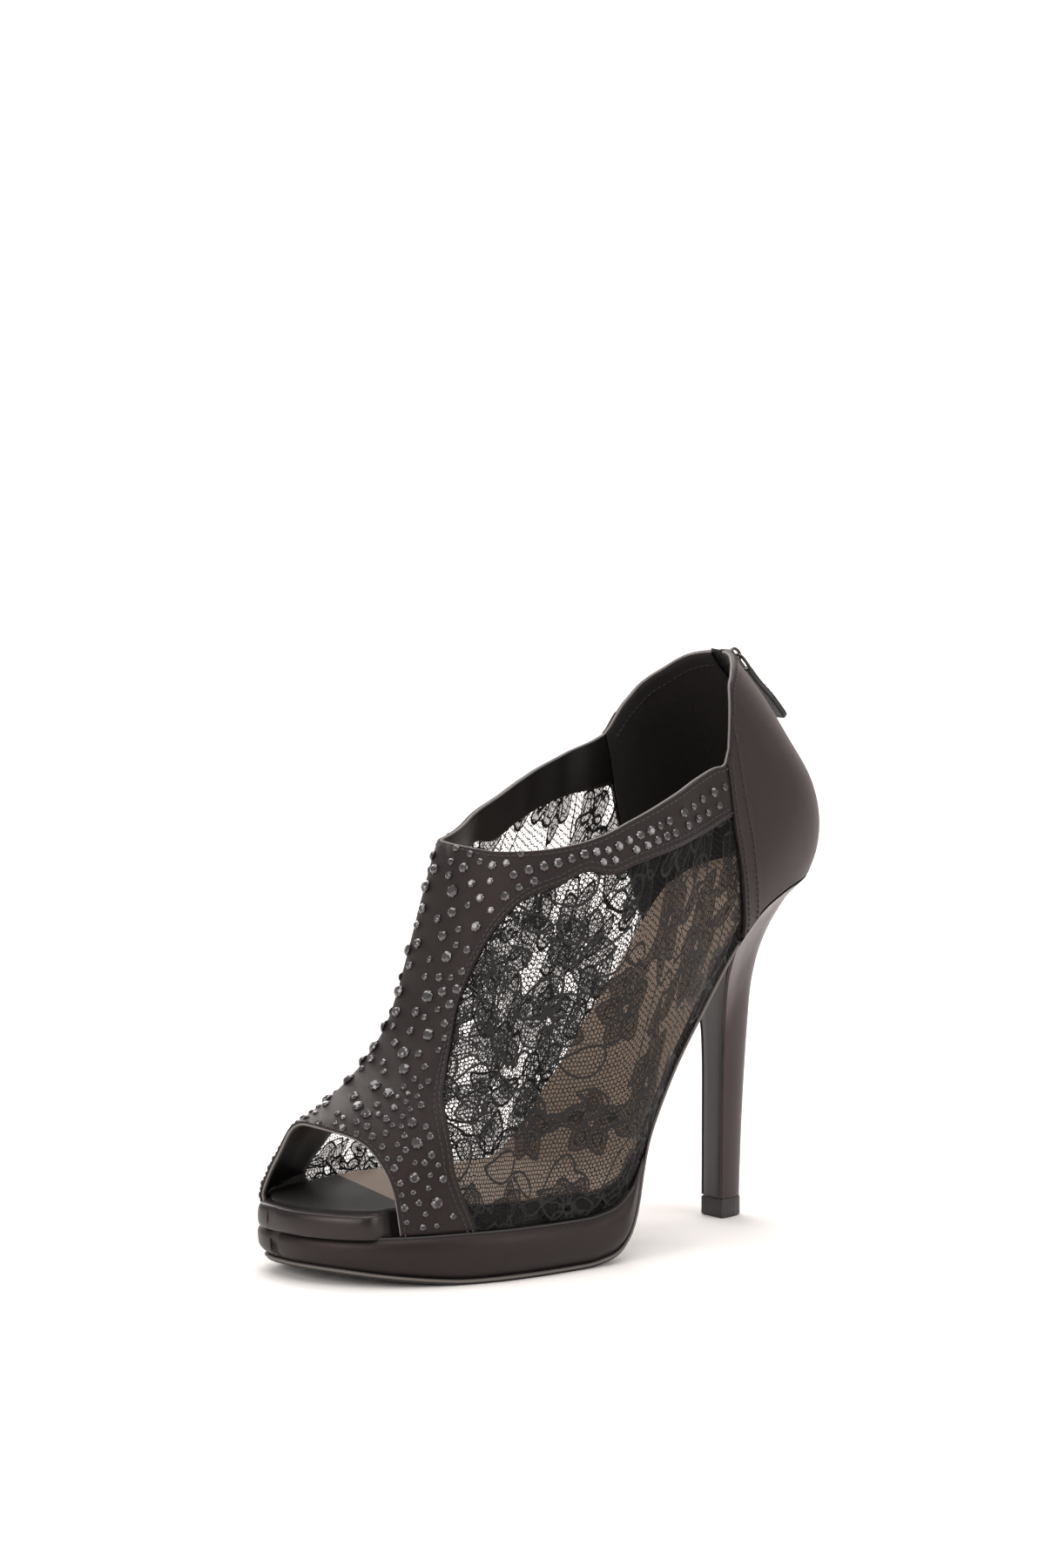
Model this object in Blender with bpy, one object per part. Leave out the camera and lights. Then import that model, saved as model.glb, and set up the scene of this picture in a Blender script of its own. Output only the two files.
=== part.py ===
"""Peep-toe ankle shoe with lace sides, a satin T-strap and a covered stiletto heel, left foot.

Metres, +Z up. The toe points along -Y, the shoe's outer side is +X, and the floor is z = 0.
The origin is on the tread, under the ball of the foot.
Every shell is cut from one surface, wall(), which wraps the last from the sole's edge to the top.
"""
import math

import bmesh
import bpy
from mathutils import Vector

# Driving sizes of the last, the form that the shoe is built on.
LAST_LENGTH = 0.2075
BALL_WIDTH = 0.079
INSTEP_HEIGHT = 0.1185
SEAT_HEIGHT = 0.117
PLATFORM_HEIGHT = 0.0165
THROAT_HEIGHT = 0.135
BACK_HEIGHT = 0.193

# Driving sizes of the pieces.
OUTSOLE = 0.0018
INSOLE_FORE = 0.0078
INSOLE_REAR = 0.0028
SOCK = 0.0010
UPPER_WALL = 0.0012
OVERLAY = 0.0009
RIM = 0.0034
SIDE_SWELL = 0.0022
WEDGE_INSET = 0.0009
OUTSOLE_INSET_FORE = 0.0004
OUTSOLE_INSET_WAIST = 0.0016
OUTSOLE_BEVEL_FORE = 0.0004
OUTSOLE_BEVEL_WAIST = 0.0026
RIM_ROUND = 0.0012
SOCK_RIM_STEP = 0.002
TIP_LENGTH = 0.0107
TIP_WIDTH = 0.0104
TOP_PIECE = 0.0068
TOP_PIECE_LEDGE = 0.0003
BREAST_COVER = 0.0010
ZIP_WIDTH = 0.0062
SLIDER_WIDTH = 0.0068
SLIDER_LENGTH = 0.0086
SLIDER_THICK = 0.0022
BRIDGE_LENGTH = 0.0062
BRIDGE_WIDTH = 0.0020
BRIDGE_BAR = 0.0010
BRIDGE_OPENING = 0.0024
LINK_LENGTH = 0.0080
LINK_WIDTH = 0.0070
LINK_BAR = 0.0011
TAB_LENGTH = 0.0215
TAB_WIDTH = 0.0090
TAB_THICK = 0.0020
GAP = 0.0003
LAYER_GAP = 0.0007
SOCK_MARGIN = 0.0008

# Places along the foot, as shares of the last's length.
BALL_AT = 0.70
HEEL_TIP_AT = 0.1445
SEAT_FRONT_AT = 0.222
PLATFORM_BACK_AT = 0.466
PLATFORM_FULL_AT = 0.526
OUTSOLE_WAIST_AT = 0.426
INSOLE_THIN_AT = 0.40
INSOLE_THICK_AT = 0.62
TOE_BLEND_AT = 0.78
INSOLE_START = 0.035
SOCK_START = 0.045
SOCK_END = 0.985
LEAN_REACH = 0.42
BELLY_AT = 0.24
BELLY_LIMIT = 0.225
BELLY_START = 4.0
RIM_START_AT = {1: 0.909, -1: 0.9875}
RIM_FULL_AT = {1: 0.945, -1: 0.9965}

# How steeply the pull hangs below level, and the slider's middle below the zip's top end.
PULL_DROP = math.radians(48.0)
SLIDER_DROP = 0.0049

# How finely the shells are faceted.
COLUMNS = 48
ROWS = 12
COLLAR_CROWDING = 1.1
RIDGE_CROWDING = 2.0
STRAP_LENGTHWISE = 44
STRAP_ACROSS = 6
STRAP_CROWDING = 2.2
COUNTER_COLUMNS = 10
COUNTER_ROWS = 12
HEEL_LEVELS = 16
HEEL_SPOKES = 9
BREAST_SPOKES = 4
HEEL_CROWDING = 1.25
BREAST_COVER_LEVELS = 14

# Cross-sections from the heel's back to the toe. Widths and swell are shares of the ball's width,
# rise is a share of the seat's height above the platform, crown of the instep's height, and
# wedge of the platform's own thickness. The two fullness values shape each side's shoulder.
SECTION_COLUMNS = ("at", "medial", "lateral", "rise", "crown", "swell", "medial_full", "lateral_full",
                   "ridge", "wedge")
SECTIONS = (
    (0.000, 0.000, 0.000, 1.000, 1.120, 0.000, 3.20, 3.20, 0.000, 0.00),
    (0.030, 0.195, 0.195, 0.998, 1.140, 0.020, 3.20, 3.20, 0.000, 0.00),
    (0.070, 0.270, 0.275, 0.988, 1.160, 0.035, 3.20, 3.20, 0.000, 0.00),
    (0.130, 0.310, 0.325, 0.955, 1.200, 0.045, 3.20, 3.20, 0.000, 0.00),
    (0.180, 0.312, 0.340, 0.900, 1.230, 0.050, 3.20, 3.20, 0.000, 0.00),
    (0.230, 0.300, 0.345, 0.800, 1.270, 0.050, 3.00, 3.00, 0.000, 0.00),
    (0.310, 0.270, 0.370, 0.605, 1.320, 0.060, 2.80, 2.80, -0.020, 0.00),
    (0.390, 0.265, 0.410, 0.405, 1.380, 0.080, 2.50, 2.50, -0.030, 0.00),
    (0.440, 0.280, 0.445, 0.255, 1.430, 0.080, 2.30, 2.30, -0.040, 0.00),
    (0.466, 0.296, 0.465, 0.170, 1.450, 0.075, 2.20, 2.20, -0.040, 0.22),
    (0.482, 0.308, 0.476, 0.122, 1.460, 0.070, 2.15, 2.15, -0.045, 0.70),
    (0.520, 0.335, 0.495, 0.040, 1.470, 0.060, 2.00, 2.10, -0.050, 1.00),
    (0.570, 0.375, 0.505, 0.006, 1.450, 0.040, 1.75, 2.00, -0.055, 1.00),
    (0.620, 0.420, 0.505, 0.000, 1.310, 0.030, 1.35, 1.90, -0.055, 1.00),
    (0.690, 0.470, 0.500, 0.000, 1.050, 0.010, 1.10, 1.80, -0.060, 1.00),
    (0.730, 0.485, 0.490, 0.000, 0.850, 0.000, 1.00, 1.80, -0.060, 1.00),
    (0.756, 0.490, 0.480, 0.000, 0.695, 0.000, 1.00, 1.80, -0.065, 1.00),
    (0.780, 0.490, 0.465, 0.000, 0.570, 0.000, 1.00, 1.90, -0.070, 1.00),
    (0.830, 0.475, 0.425, 0.000, 0.430, 0.000, 1.05, 2.00, -0.090, 0.98),
    (0.870, 0.455, 0.380, -0.002, 0.365, 0.000, 1.10, 2.10, -0.105, 0.91),
    (0.920, 0.425, 0.290, -0.006, 0.310, 0.000, 1.15, 2.20, -0.120, 0.80),
    (0.960, 0.385, 0.170, -0.010, 0.280, 0.000, 1.15, 2.20, -0.130, 0.70),
    (0.985, 0.330, 0.040, -0.012, 0.265, 0.000, 1.15, 2.20, -0.130, 0.65),
    (1.000, 0.200, -0.150, -0.013, 0.255, 0.000, 1.15, 2.20, -0.130, 0.63),
)
RIDGE_ROUNDING = 8.0
RIDGE_ROUNDNESS = 2.0

# The back seen from the side: height over the seat and forward lean as shares of the instep's
# height, and how much of the width is kept at that height.
BACK_COLUMNS = ("height", "lean", "keep")
BACK = (
    (0.00, 0.000, 1.00),
    (0.06, -0.028, 1.00),
    (0.13, -0.038, 1.00),
    (0.25, -0.012, 0.99),
    (0.40, 0.088, 0.94),
    (0.52, 0.175, 0.86),
    (0.64, 0.280, 0.76),
    (0.80, 0.420, 0.70),
    (1.20, 0.800, 0.70),
)

# The topline: place forward of the back as a share of length, and height on each side as a
# share of the way from the throat up to the back's top.
COLLAR_COLUMNS = ("at", "medial", "lateral")
COLLAR = (
    (0.140, 1.000, 1.000),
    (0.165, 0.985, 0.995),
    (0.181, 0.955, 0.972),
    (0.201, 0.880, 0.935),
    (0.222, 0.820, 0.875),
    (0.240, 0.763, 0.790),
    (0.252, 0.715, 0.600),
    (0.260, 0.690, 0.420),
    (0.266, 0.670, 0.390),
    (0.290, 0.575, 0.367),
    (0.300, 0.530, 0.358),
    (0.309, 0.500, 0.348),
    (0.318, 0.485, 0.337),
    (0.376, 0.410, 0.272),
    (0.457, 0.300, 0.158),
    (0.530, 0.184, 0.060),
    (0.614, 0.070, -0.005),
    (0.680, 0.010, -0.022),
    (0.712, 0.000, 0.000),
    (0.760, 0.000, 0.000),
)

# The toe opening's edge: round the toe from the outer sole edge (0) over the ridge (1) to the
# inner sole edge (2), with its place along the foot.
TOE_EDGE_COLUMNS = ("round", "at")
TOE_EDGE = (
    (0.00, 0.907),
    (0.25, 0.907),
    (0.60, 0.917),
    (0.85, 0.933),
    (1.00, 0.958),
    (1.12, 0.974),
    (1.35, 0.984),
    (1.70, 0.986),
    (2.00, 0.986),
)

# The counter's front edge: height up the wall and place along the foot on each side.
COUNTER_COLUMNS_NAMED = ("height", "medial", "lateral")
COUNTER_FRONT = (
    (0.00, 0.223, 0.223),
    (0.10, 0.243, 0.242),
    (0.20, 0.252, 0.247),
    (0.30, 0.257, 0.242),
    (0.40, 0.259, 0.225),
    (0.50, 0.259, 0.200),
)
COUNTER_CORNER = {1: 0.225, -1: 0.259}

# The T-strap and collar band. Path runs from the sole edge at the toe opening (0) along the
# opening, back up the ridge to the throat and round the topline to the counter (1). The other
# values are the inner edge, which borders the lace, on each side: place along and height up.
TOE_SHARE = 0.22
RIDGE_SHARE = 0.33
STRAP_EDGE_COLUMNS = ("path", "lateral_at", "lateral_up", "medial_at", "medial_up")
STRAP_EDGE = (
    (0.000, 0.800, 0.000, 0.872, 0.000),
    (0.055, 0.818, 0.220, 0.872, 0.220),
    (0.110, 0.827, 0.430, 0.864, 0.430),
    (0.165, 0.826, 0.620, 0.846, 0.620),
    (0.220, 0.818, 0.760, 0.826, 0.760),
    (0.280, 0.804, 0.825, 0.806, 0.825),
    (0.340, 0.791, 0.860, 0.791, 0.860),
    (0.400, 0.777, 0.880, 0.777, 0.880),
    (0.450, 0.764, 0.885, 0.764, 0.885),
    (0.500, 0.745, 0.868, 0.745, 0.868),
    (0.550, 0.720, 0.830, 0.720, 0.830),
    (0.600, 0.672, 0.760, 0.672, 0.760),
    (0.650, 0.610, 0.675, 0.610, 0.700),
    (0.700, 0.545, 0.622, 0.545, 0.650),
    (0.750, 0.488, 0.581, 0.488, 0.626),
    (0.800, 0.431, 0.509, 0.431, 0.570),
    (0.900, 0.325, 0.390, 0.330, 0.460),
    (1.000, 0.2445, 0.305, 0.2625, 0.375),
)

# The platform's side from its top edge (1) down to the tread (0), and how far it swells out
# as a share of SIDE_SWELL.
PLATFORM_SIDE = (
    (1.00, 0.25),
    (0.88, 0.80),
    (0.50, 1.00),
    (0.14, 0.35),
    (0.00, -0.45),
)

# The insole's rim from its top edge (1) down to its underside, and how far its corners are
# rounded back as a share of RIM_ROUND.
INSOLE_SIDE = (
    (1.00, 1.00),
    (0.72, 0.15),
    (0.40, 0.00),
    (0.00, 0.50),
)

# The heel from its tip (0) to the seat (1). Back and front are measured from the tip's middle in
# tip lengths, half is in tip widths, and spread is how far the section has opened to the seat.
HEEL_COLUMNS = ("level", "back", "front", "half", "spread")
HEEL = (
    (0.00, -0.495, 0.505, 0.490, 0.00),
    (0.25, -0.600, 0.495, 0.510, 0.00),
    (0.55, -0.830, 0.486, 0.550, 0.00),
    (0.70, -0.970, 0.540, 0.640, 0.03),
    (0.79, -1.090, 0.635, 0.760, 0.12),
    (0.88, -1.250, 0.760, 0.920, 0.33),
    (0.95, -1.400, 0.860, 1.060, 0.62),
    (1.00, -1.510, 0.916, 1.150, 1.00),
)
HEEL_ROUND = 0.85
HEEL_INSET = 0.0006
BREAST_COVER_FOOT = 0.004
BREAST_COVER_TOP = 0.970
BREAST_COVER_SPREAD = 0.9

# The pull tab from the link (0) to its end (1), and its width as a share of TAB_WIDTH.
TAB_SHAPE = (
    (0.00, 0.62),
    (0.25, 0.62),
    (0.62, 1.00),
    (0.93, 1.00),
    (1.00, 0.80),
)

SATIN = (0.022, 0.016, 0.017)
LACE = (0.05, 0.04, 0.04)
NUDE = (0.62, 0.47, 0.36)
SHINY_BLACK = (0.02, 0.018, 0.018)
TAPE_BLACK = (0.02, 0.02, 0.022)
GUNMETAL = (0.18, 0.16, 0.15)
LEATHER_BLACK = (0.012, 0.012, 0.012)
PLASTIC_GREY = (0.06, 0.055, 0.055)


def smooth(names, rows, name, at, key):
    """The value of a named column where the key column is at, along a curve with no overshoot."""
    k = names.index(key)
    c = names.index(name)
    xs = [row[k] for row in rows]
    ys = [row[c] for row in rows]
    return smooth_value(xs, ys, at)


def smooth_value(xs, ys, at):
    if at <= xs[0]:
        return ys[0]
    if at >= xs[-1]:
        return ys[-1]
    i = max(j for j in range(len(xs) - 1) if xs[j] <= at)
    step = xs[i + 1] - xs[i]
    u = (at - xs[i]) / step
    start = knot_slope(xs, ys, i) * step
    end = knot_slope(xs, ys, i + 1) * step
    return ((2 * u ** 3 - 3 * u * u + 1) * ys[i] + (u ** 3 - 2 * u * u + u) * start
            + (3 * u * u - 2 * u ** 3) * ys[i + 1] + (u ** 3 - u * u) * end)


def knot_slope(xs, ys, i):
    if i == 0:
        return (ys[1] - ys[0]) / (xs[1] - xs[0])
    if i == len(xs) - 1:
        return (ys[-1] - ys[-2]) / (xs[-1] - xs[-2])
    before = (ys[i] - ys[i - 1]) / (xs[i] - xs[i - 1])
    after = (ys[i + 1] - ys[i]) / (xs[i + 1] - xs[i])
    if before * after <= 0:
        return 0.0
    back = xs[i] - xs[i - 1]
    ahead = xs[i + 1] - xs[i]
    return (before * ahead + after * back) / (back + ahead)


def station(share):
    """Stations run 0 to 1 like shares of the length, but crowd together at the heel and the toe."""
    return math.acos(max(-1.0, min(1.0, 1 - 2 * share))) / math.pi


def share(t):
    return (1 - math.cos(math.pi * t)) / 2


SECTION_STATIONS = [station(row[0]) for row in SECTIONS]
SECTION_VALUES = {name: [row[i] for row in SECTIONS] for i, name in enumerate(SECTION_COLUMNS)}


def section(name, t):
    return smooth_value(SECTION_STATIONS, SECTION_VALUES[name], t)


def at_share(name, forward):
    return section(name, station(forward / LAST_LENGTH))


def bed(forward):
    """Height of the sole's edge, where the upper meets the platform, forward of the heel's back."""
    return PLATFORM_HEIGHT + (SEAT_HEIGHT - PLATFORM_HEIGHT) * at_share("rise", forward)


def joint_line(forward):
    """Height of the outsole's upper face: the platform's underside, then the bed itself."""
    return bed(forward) - (PLATFORM_HEIGHT - OUTSOLE) * at_share("wedge", forward)


def steepness(line, forward):
    """How much taller than its own thickness a sheet along the line stands."""
    reach = 0.002
    lo = max(0.0, forward - reach)
    hi = min(LAST_LENGTH, forward + reach)
    slope = (line(hi) - line(lo)) / (hi - lo)
    return math.sqrt(1 + slope * slope)


def to_world(x, forward, z):
    return Vector((x, BALL_AT * LAST_LENGTH - forward, z))


def half_width(t, side):
    return BALL_WIDTH * section("lateral" if side > 0 else "medial", t)


def plan_normal(t, side):
    """Outward direction of the sole's outline, as x and forward."""
    reach = 0.002
    lo = max(0.0, t - reach)
    hi = min(1.0, t + reach)
    dx = side * (half_width(hi, side) - half_width(lo, side))
    df = (share(hi) - share(lo)) * LAST_LENGTH
    size = math.hypot(dx, df)
    return side * df / size, -side * dx / size


def edge(t, side, out=0.0, line=bed, lift=0.0):
    """A point beside the sole's outline, moved out by out and lifted off a height line."""
    nx, nf = plan_normal(t, side)
    x = side * half_width(t, side) + nx * out
    forward = share(t) * LAST_LENGTH + nf * out
    return to_world(x, forward, line(forward) + lift * steepness(line, forward))


def back_value(name, height):
    return smooth(BACK_COLUMNS, BACK, name, height / INSTEP_HEIGHT, "height")


def wall_raw(t, side, up):
    """The shoe's outer skin at a station, from the sole's edge (up 0) to the ridge or crown (1)."""
    tall = INSTEP_HEIGHT * section("crown", t)
    foot = half_width(t, side)
    widest = foot + BALL_WIDTH * section("swell", t) * min(1.0, BELLY_START * t)
    full = section("lateral_full" if side > 0 else "medial_full", t)
    belly = min(BELLY_LIMIT * full, BELLY_AT * INSTEP_HEIGHT / tall)
    if up < belly:
        x = foot + (widest - foot) * math.sin(math.pi / 2 * up / belly)
    else:
        w = min(1.0, (up - belly) / (1 - belly))
        full += (RIDGE_ROUNDNESS - full) * w ** RIDGE_ROUNDING if full < RIDGE_ROUNDNESS else 0.0
        x = widest * (1 - w ** full) ** (1 / full)
    lean_weight = math.cos(math.pi / 2 * min(1.0, share(t) / LEAN_REACH)) ** 2
    forward = share(t) * LAST_LENGTH
    height = up * tall
    x *= 1 - (1 - back_value("keep", height)) * lean_weight
    x = side * x + BALL_WIDTH * section("ridge", t) * up
    z = bed(forward) + height
    forward += INSTEP_HEIGHT * back_value("lean", height) * lean_weight
    return to_world(x, forward, z)


def wall_around(t, side, up):
    """wall_raw, carried over the ridge to the other side and round the heel's back."""
    if up > 1:
        side = -side
        up = 2 - up
    if t < 0:
        side = -side
        t = -t
    return wall_raw(t, side, up)


def wall(t, side, up, depth=0.0):
    """A point of the skin, or of a layer lying depth below it."""
    point = wall_raw(t, side, up)
    if depth == 0:
        return point
    if up <= 0:
        return edge(t, side, -depth, bed, 0.0)
    reach = 0.012
    along = wall_around(min(1.0, t + reach), side, up) - wall_around(t - reach, side, up)
    upward = wall_around(t, side, up + reach) - wall_around(t, side, max(0.0, up - reach))
    normal = along.cross(upward).normalized() * -side
    return point - normal * depth


def collar_height(forward, side):
    name = "lateral" if side > 0 else "medial"
    rise = smooth(COLLAR_COLUMNS, COLLAR, name, forward / LAST_LENGTH, "at")
    return THROAT_HEIGHT + (BACK_HEIGHT - THROAT_HEIGHT) * rise


def collar_up(t, side):
    """How far up the wall the topline cuts a station."""
    lo = 0.0
    hi = 1.0
    top = wall_raw(t, side, 1.0)
    if top.z <= THROAT_HEIGHT and t > station(LEAN_REACH):
        return 1.0
    for _ in range(30):
        mid = (lo + hi) / 2
        point = wall_raw(t, side, mid)
        if point.z < collar_height(BALL_AT * LAST_LENGTH - point.y, side):
            lo = mid
        else:
            hi = mid
    return (lo + hi) / 2


def find_throat():
    """The station where the ridge comes up to the throat's height."""
    lo = station(LEAN_REACH)
    hi = 1.0
    for _ in range(40):
        mid = (lo + hi) / 2
        if wall_raw(mid, 1, 1.0).z > THROAT_HEIGHT:
            lo = mid
        else:
            hi = mid
    return hi


THROAT = find_throat()


def toe_edge(round_toe):
    return station(smooth(TOE_EDGE_COLUMNS, TOE_EDGE, "at", round_toe, "round"))


def toe_station(t, side, up):
    """Shifts the stations ahead of the ball so that the last one lies along the toe opening."""
    start = station(TOE_BLEND_AT)
    if t <= start:
        return t
    end = toe_edge(up if side > 0 else 2 - up)
    return start + (t - start) / (1 - start) * (end - start)


def new_object(name, bm, material, smooth_angle=35.0):
    bmesh.ops.recalc_face_normals(bm, faces=bm.faces)
    mesh = bpy.data.meshes.new(name)
    bm.to_mesh(mesh)
    bm.free()
    mesh.materials.append(material)
    mesh.shade_smooth()
    mesh.set_sharp_from_angle(angle=math.radians(smooth_angle))
    obj = bpy.data.objects.new(name, mesh)
    bpy.context.scene.collection.objects.link(obj)
    return obj


def new_material(name, color, roughness, metallic=0.0):
    material = bpy.data.materials.new(name)
    material.use_nodes = True
    shader = material.node_tree.nodes["Principled BSDF"]
    shader.inputs["Base Color"].default_value = (*color, 1.0)
    shader.inputs["Roughness"].default_value = roughness
    shader.inputs["Metallic"].default_value = metallic
    return material


def off_bed(point):
    """Lifts a point of the skin clear of the platform and the heel that it stands on."""
    forward = BALL_AT * LAST_LENGTH - point.y
    return point + Vector((0.0, 0.0, LAYER_GAP * steepness(bed, forward)))


class Sheet:
    """Patches of one surface, joined where their points meet, then given a thickness."""

    def __init__(self):
        self.numbers = {}
        self.outer = []
        self.inner = []
        self.faces = []

    def number(self, outer, inner):
        key = tuple(round(value * 1e5) for value in outer)
        if key not in self.numbers:
            self.numbers[key] = len(self.outer)
            self.outer.append(outer)
            self.inner.append(inner)
        return self.numbers[key]

    def patch(self, count_u, count_v, place, outer_depth, inner_depth):
        """place(u, v) gives station, side and height up the wall."""
        grid = []
        for i in range(count_u + 1):
            row = []
            for j in range(count_v + 1):
                spot = place(i / count_u, j / count_v)
                row.append(self.number(wall(*spot, outer_depth), wall(*spot, inner_depth)))
            grid.append(row)
        for i in range(count_u):
            for j in range(count_v):
                ring = (grid[i][j], grid[i + 1][j], grid[i + 1][j + 1], grid[i][j + 1])
                distinct = [n for k, n in enumerate(ring) if n != ring[k - 1]]
                if len(distinct) > 2:
                    self.faces.append(distinct)

    def solid(self, name, material):
        bm = bmesh.new()
        outer = [bm.verts.new(off_bed(point)) for point in self.outer]
        inner = [bm.verts.new(off_bed(point)) for point in self.inner]
        uses = {}
        for face in self.faces:
            bm.faces.new([outer[n] for n in face])
            bm.faces.new([inner[n] for n in reversed(face)])
            for k, n in enumerate(face):
                pair = (face[k - 1], n)
                uses[frozenset(pair)] = None if frozenset(pair) in uses else pair
        for pair in uses.values():
            if pair is not None:
                a, b = pair
                bm.faces.new((outer[b], outer[a], inner[a], inner[b]))
        bmesh.ops.triangulate(bm, faces=bm.faces)
        return new_object(name, bm, material)


def row_spot(t, v):
    """Rows crowd toward the ridge, where the wall turns over most tightly."""
    crowding = COLLAR_CROWDING + (RIDGE_CROWDING - COLLAR_CROWDING) * ramp(t, THROAT / 2, THROAT)
    return 1 - (1 - v) ** crowding


def column_station(column):
    """Even columns from the heel's back to the throat, and from there to the toe."""
    throat_column = round(COLUMNS * THROAT)
    if column <= throat_column:
        return THROAT * column / throat_column
    return THROAT + (1 - THROAT) * (column - throat_column) / (COLUMNS - throat_column)


def wall_top(t, side):
    return collar_up(t, side) if t < THROAT else 1.0


def make_upper(material):
    """The lace and lining shell: open at the collar, at the toe and underneath."""
    sheet = Sheet()
    outer_depth = OVERLAY + LAYER_GAP
    for side in (1, -1):

        def place(u, v):
            t = column_station(round(u * COLUMNS))
            up = wall_top(t, side) * row_spot(t, v)
            return toe_station(t, side, up), side, up

        sheet.patch(COLUMNS, ROWS, place, outer_depth, outer_depth + UPPER_WALL)
    return sheet.solid("upper", material)


def strap_value(name, path):
    return smooth(STRAP_EDGE_COLUMNS, STRAP_EDGE, name, path, "path")


def strap_outer_edge(path, side):
    """Station and height of the T-strap's free edge: toe opening, ridge, then topline."""
    if path <= TOE_SHARE:
        up = path / TOE_SHARE
        return toe_edge(up if side > 0 else 2 - up), up
    ridge_start = toe_edge(1.0)
    if path <= TOE_SHARE + RIDGE_SHARE:
        return ridge_start + (THROAT - ridge_start) * (path - TOE_SHARE) / RIDGE_SHARE, 1.0
    rest = (path - TOE_SHARE - RIDGE_SHARE) / (1 - TOE_SHARE - RIDGE_SHARE)
    corner = COUNTER_CORNER[side] + 2 * GAP / LAST_LENGTH
    t = station(share(THROAT) + (corner - share(THROAT)) * rest)
    return t, collar_up(t, side)


def make_vamp_strap(material):
    """The satin T: toe band, centre strap and collar band in one piece over the lace."""
    sheet = Sheet()
    toe_steps = round(STRAP_LENGTHWISE * TOE_SHARE)
    ridge_steps = round(STRAP_LENGTHWISE * RIDGE_SHARE)
    for side in (1, -1):
        name = "lateral" if side > 0 else "medial"

        def place(u, v):
            step = u * STRAP_LENGTHWISE
            if step <= toe_steps:
                path = TOE_SHARE * row_spot(THROAT, step / toe_steps)
            elif step <= toe_steps + ridge_steps:
                path = TOE_SHARE + RIDGE_SHARE * (step - toe_steps) / ridge_steps
            else:
                rest_steps = STRAP_LENGTHWISE - toe_steps - ridge_steps
                rest = (step - toe_steps - ridge_steps) / rest_steps
                path = TOE_SHARE + RIDGE_SHARE + (1 - TOE_SHARE - RIDGE_SHARE) * rest
            inner_t = station(strap_value(name + "_at", path))
            inner_up = strap_value(name + "_up", path)
            outer_t, outer_up = strap_outer_edge(path, side)
            w = 1 - (1 - v) ** STRAP_CROWDING
            return inner_t + (outer_t - inner_t) * w, side, inner_up + (outer_up - inner_up) * w

        sheet.patch(STRAP_LENGTHWISE, STRAP_ACROSS, place, 0.0, OVERLAY)
    return sheet.solid("vamp_strap", material)


def station_at_width(width, side, up):
    """The station behind which the skin is narrower than width on this side."""
    lo = 0.0
    hi = station(0.2)
    for _ in range(30):
        mid = (lo + hi) / 2
        if abs(wall_raw(mid, side, up).x) < width:
            lo = mid
        else:
            hi = mid
    return (lo + hi) / 2


def make_counter(side, material):
    """One side of the satin heel counter, from the zip forward to the lace."""
    name = "lateral" if side > 0 else "medial"
    sheet = Sheet()

    def place(u, v):
        t = station(COUNTER_CORNER[side]) * u
        for _ in range(6):
            up = v * collar_up(t, side)
            front = smooth(COUNTER_COLUMNS_NAMED, COUNTER_FRONT, name, up, "height")
            back = station_at_width(ZIP_WIDTH / 2 + GAP, side, up)
            t = back + (station(front) - back) * u
        return t, side, up

    sheet.patch(COUNTER_COLUMNS, COUNTER_ROWS, place, 0.0, OVERLAY)
    return sheet.solid("counter_" + name, material)


def make_zip_tape(material):
    """The closed zip's tape and chain, in the slot between the two counters."""
    sheet = Sheet()
    top = collar_up(0.0, 1)
    for side in (1, -1):

        def place(u, v):
            up = v * top
            if u == 0:
                return 0.0, side, up
            return station_at_width(ZIP_WIDTH / 2 * u, side, up), side, up

        sheet.patch(2, COUNTER_ROWS, place, 0.0, OVERLAY)
    return sheet.solid("zip_tape", material)


def loft(name, rings, material):
    """A closed body through rings of equally many points, with flat caps at both ends."""
    bm = bmesh.new()
    grid = [[bm.verts.new(point) for point in ring] for ring in rings]
    count = len(grid[0])
    for near, far in zip(grid, grid[1:]):
        for k in range(count):
            bm.faces.new((near[k - 1], near[k], far[k], far[k - 1]))
    bm.faces.new(list(reversed(grid[0])))
    bm.faces.new(grid[-1])
    bmesh.ops.triangulate(bm, faces=bm.faces)
    return new_object(name, bm, material)


def stations_from(start, end=1.0, keep=()):
    """The columns' own stations between two places, so that stacked pieces share their facets."""
    wanted = [start, *keep, end]
    closest = 0.3 / COLUMNS
    for column in range(COLUMNS + 1):
        t = column_station(column)
        if start < t < end and all(abs(t - other) > closest for other in wanted):
            wanted.append(t)
    return sorted(wanted)


def ramp(value, start, end):
    x = max(0.0, min(1.0, (value - start) / (end - start)))
    return x * x * (3 - 2 * x)


def make_outsole(material):
    """A thin sheet under the platform that runs on up the waist to the heel."""
    rings = []
    for t in stations_from(station(SEAT_FRONT_AT + 2 * GAP / LAST_LENGTH)):
        fore = ramp(share(t), OUTSOLE_WAIST_AT, PLATFORM_FULL_AT)
        top_out = -OUTSOLE_INSET_WAIST + fore * (OUTSOLE_INSET_WAIST - OUTSOLE_INSET_FORE)
        low_out = top_out - OUTSOLE_BEVEL_WAIST + fore * (OUTSOLE_BEVEL_WAIST - OUTSOLE_BEVEL_FORE)
        ring = []
        for side in (1, -1):
            column = [
                edge(t, side, top_out, joint_line, 0.0),
                edge(t, side, top_out, joint_line, -OUTSOLE / 2),
                edge(t, side, low_out, joint_line, -OUTSOLE),
            ]
            ring += column if side > 0 else reversed(column)
        rings.append(ring)
    return loft("outsole", rings, material)


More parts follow.
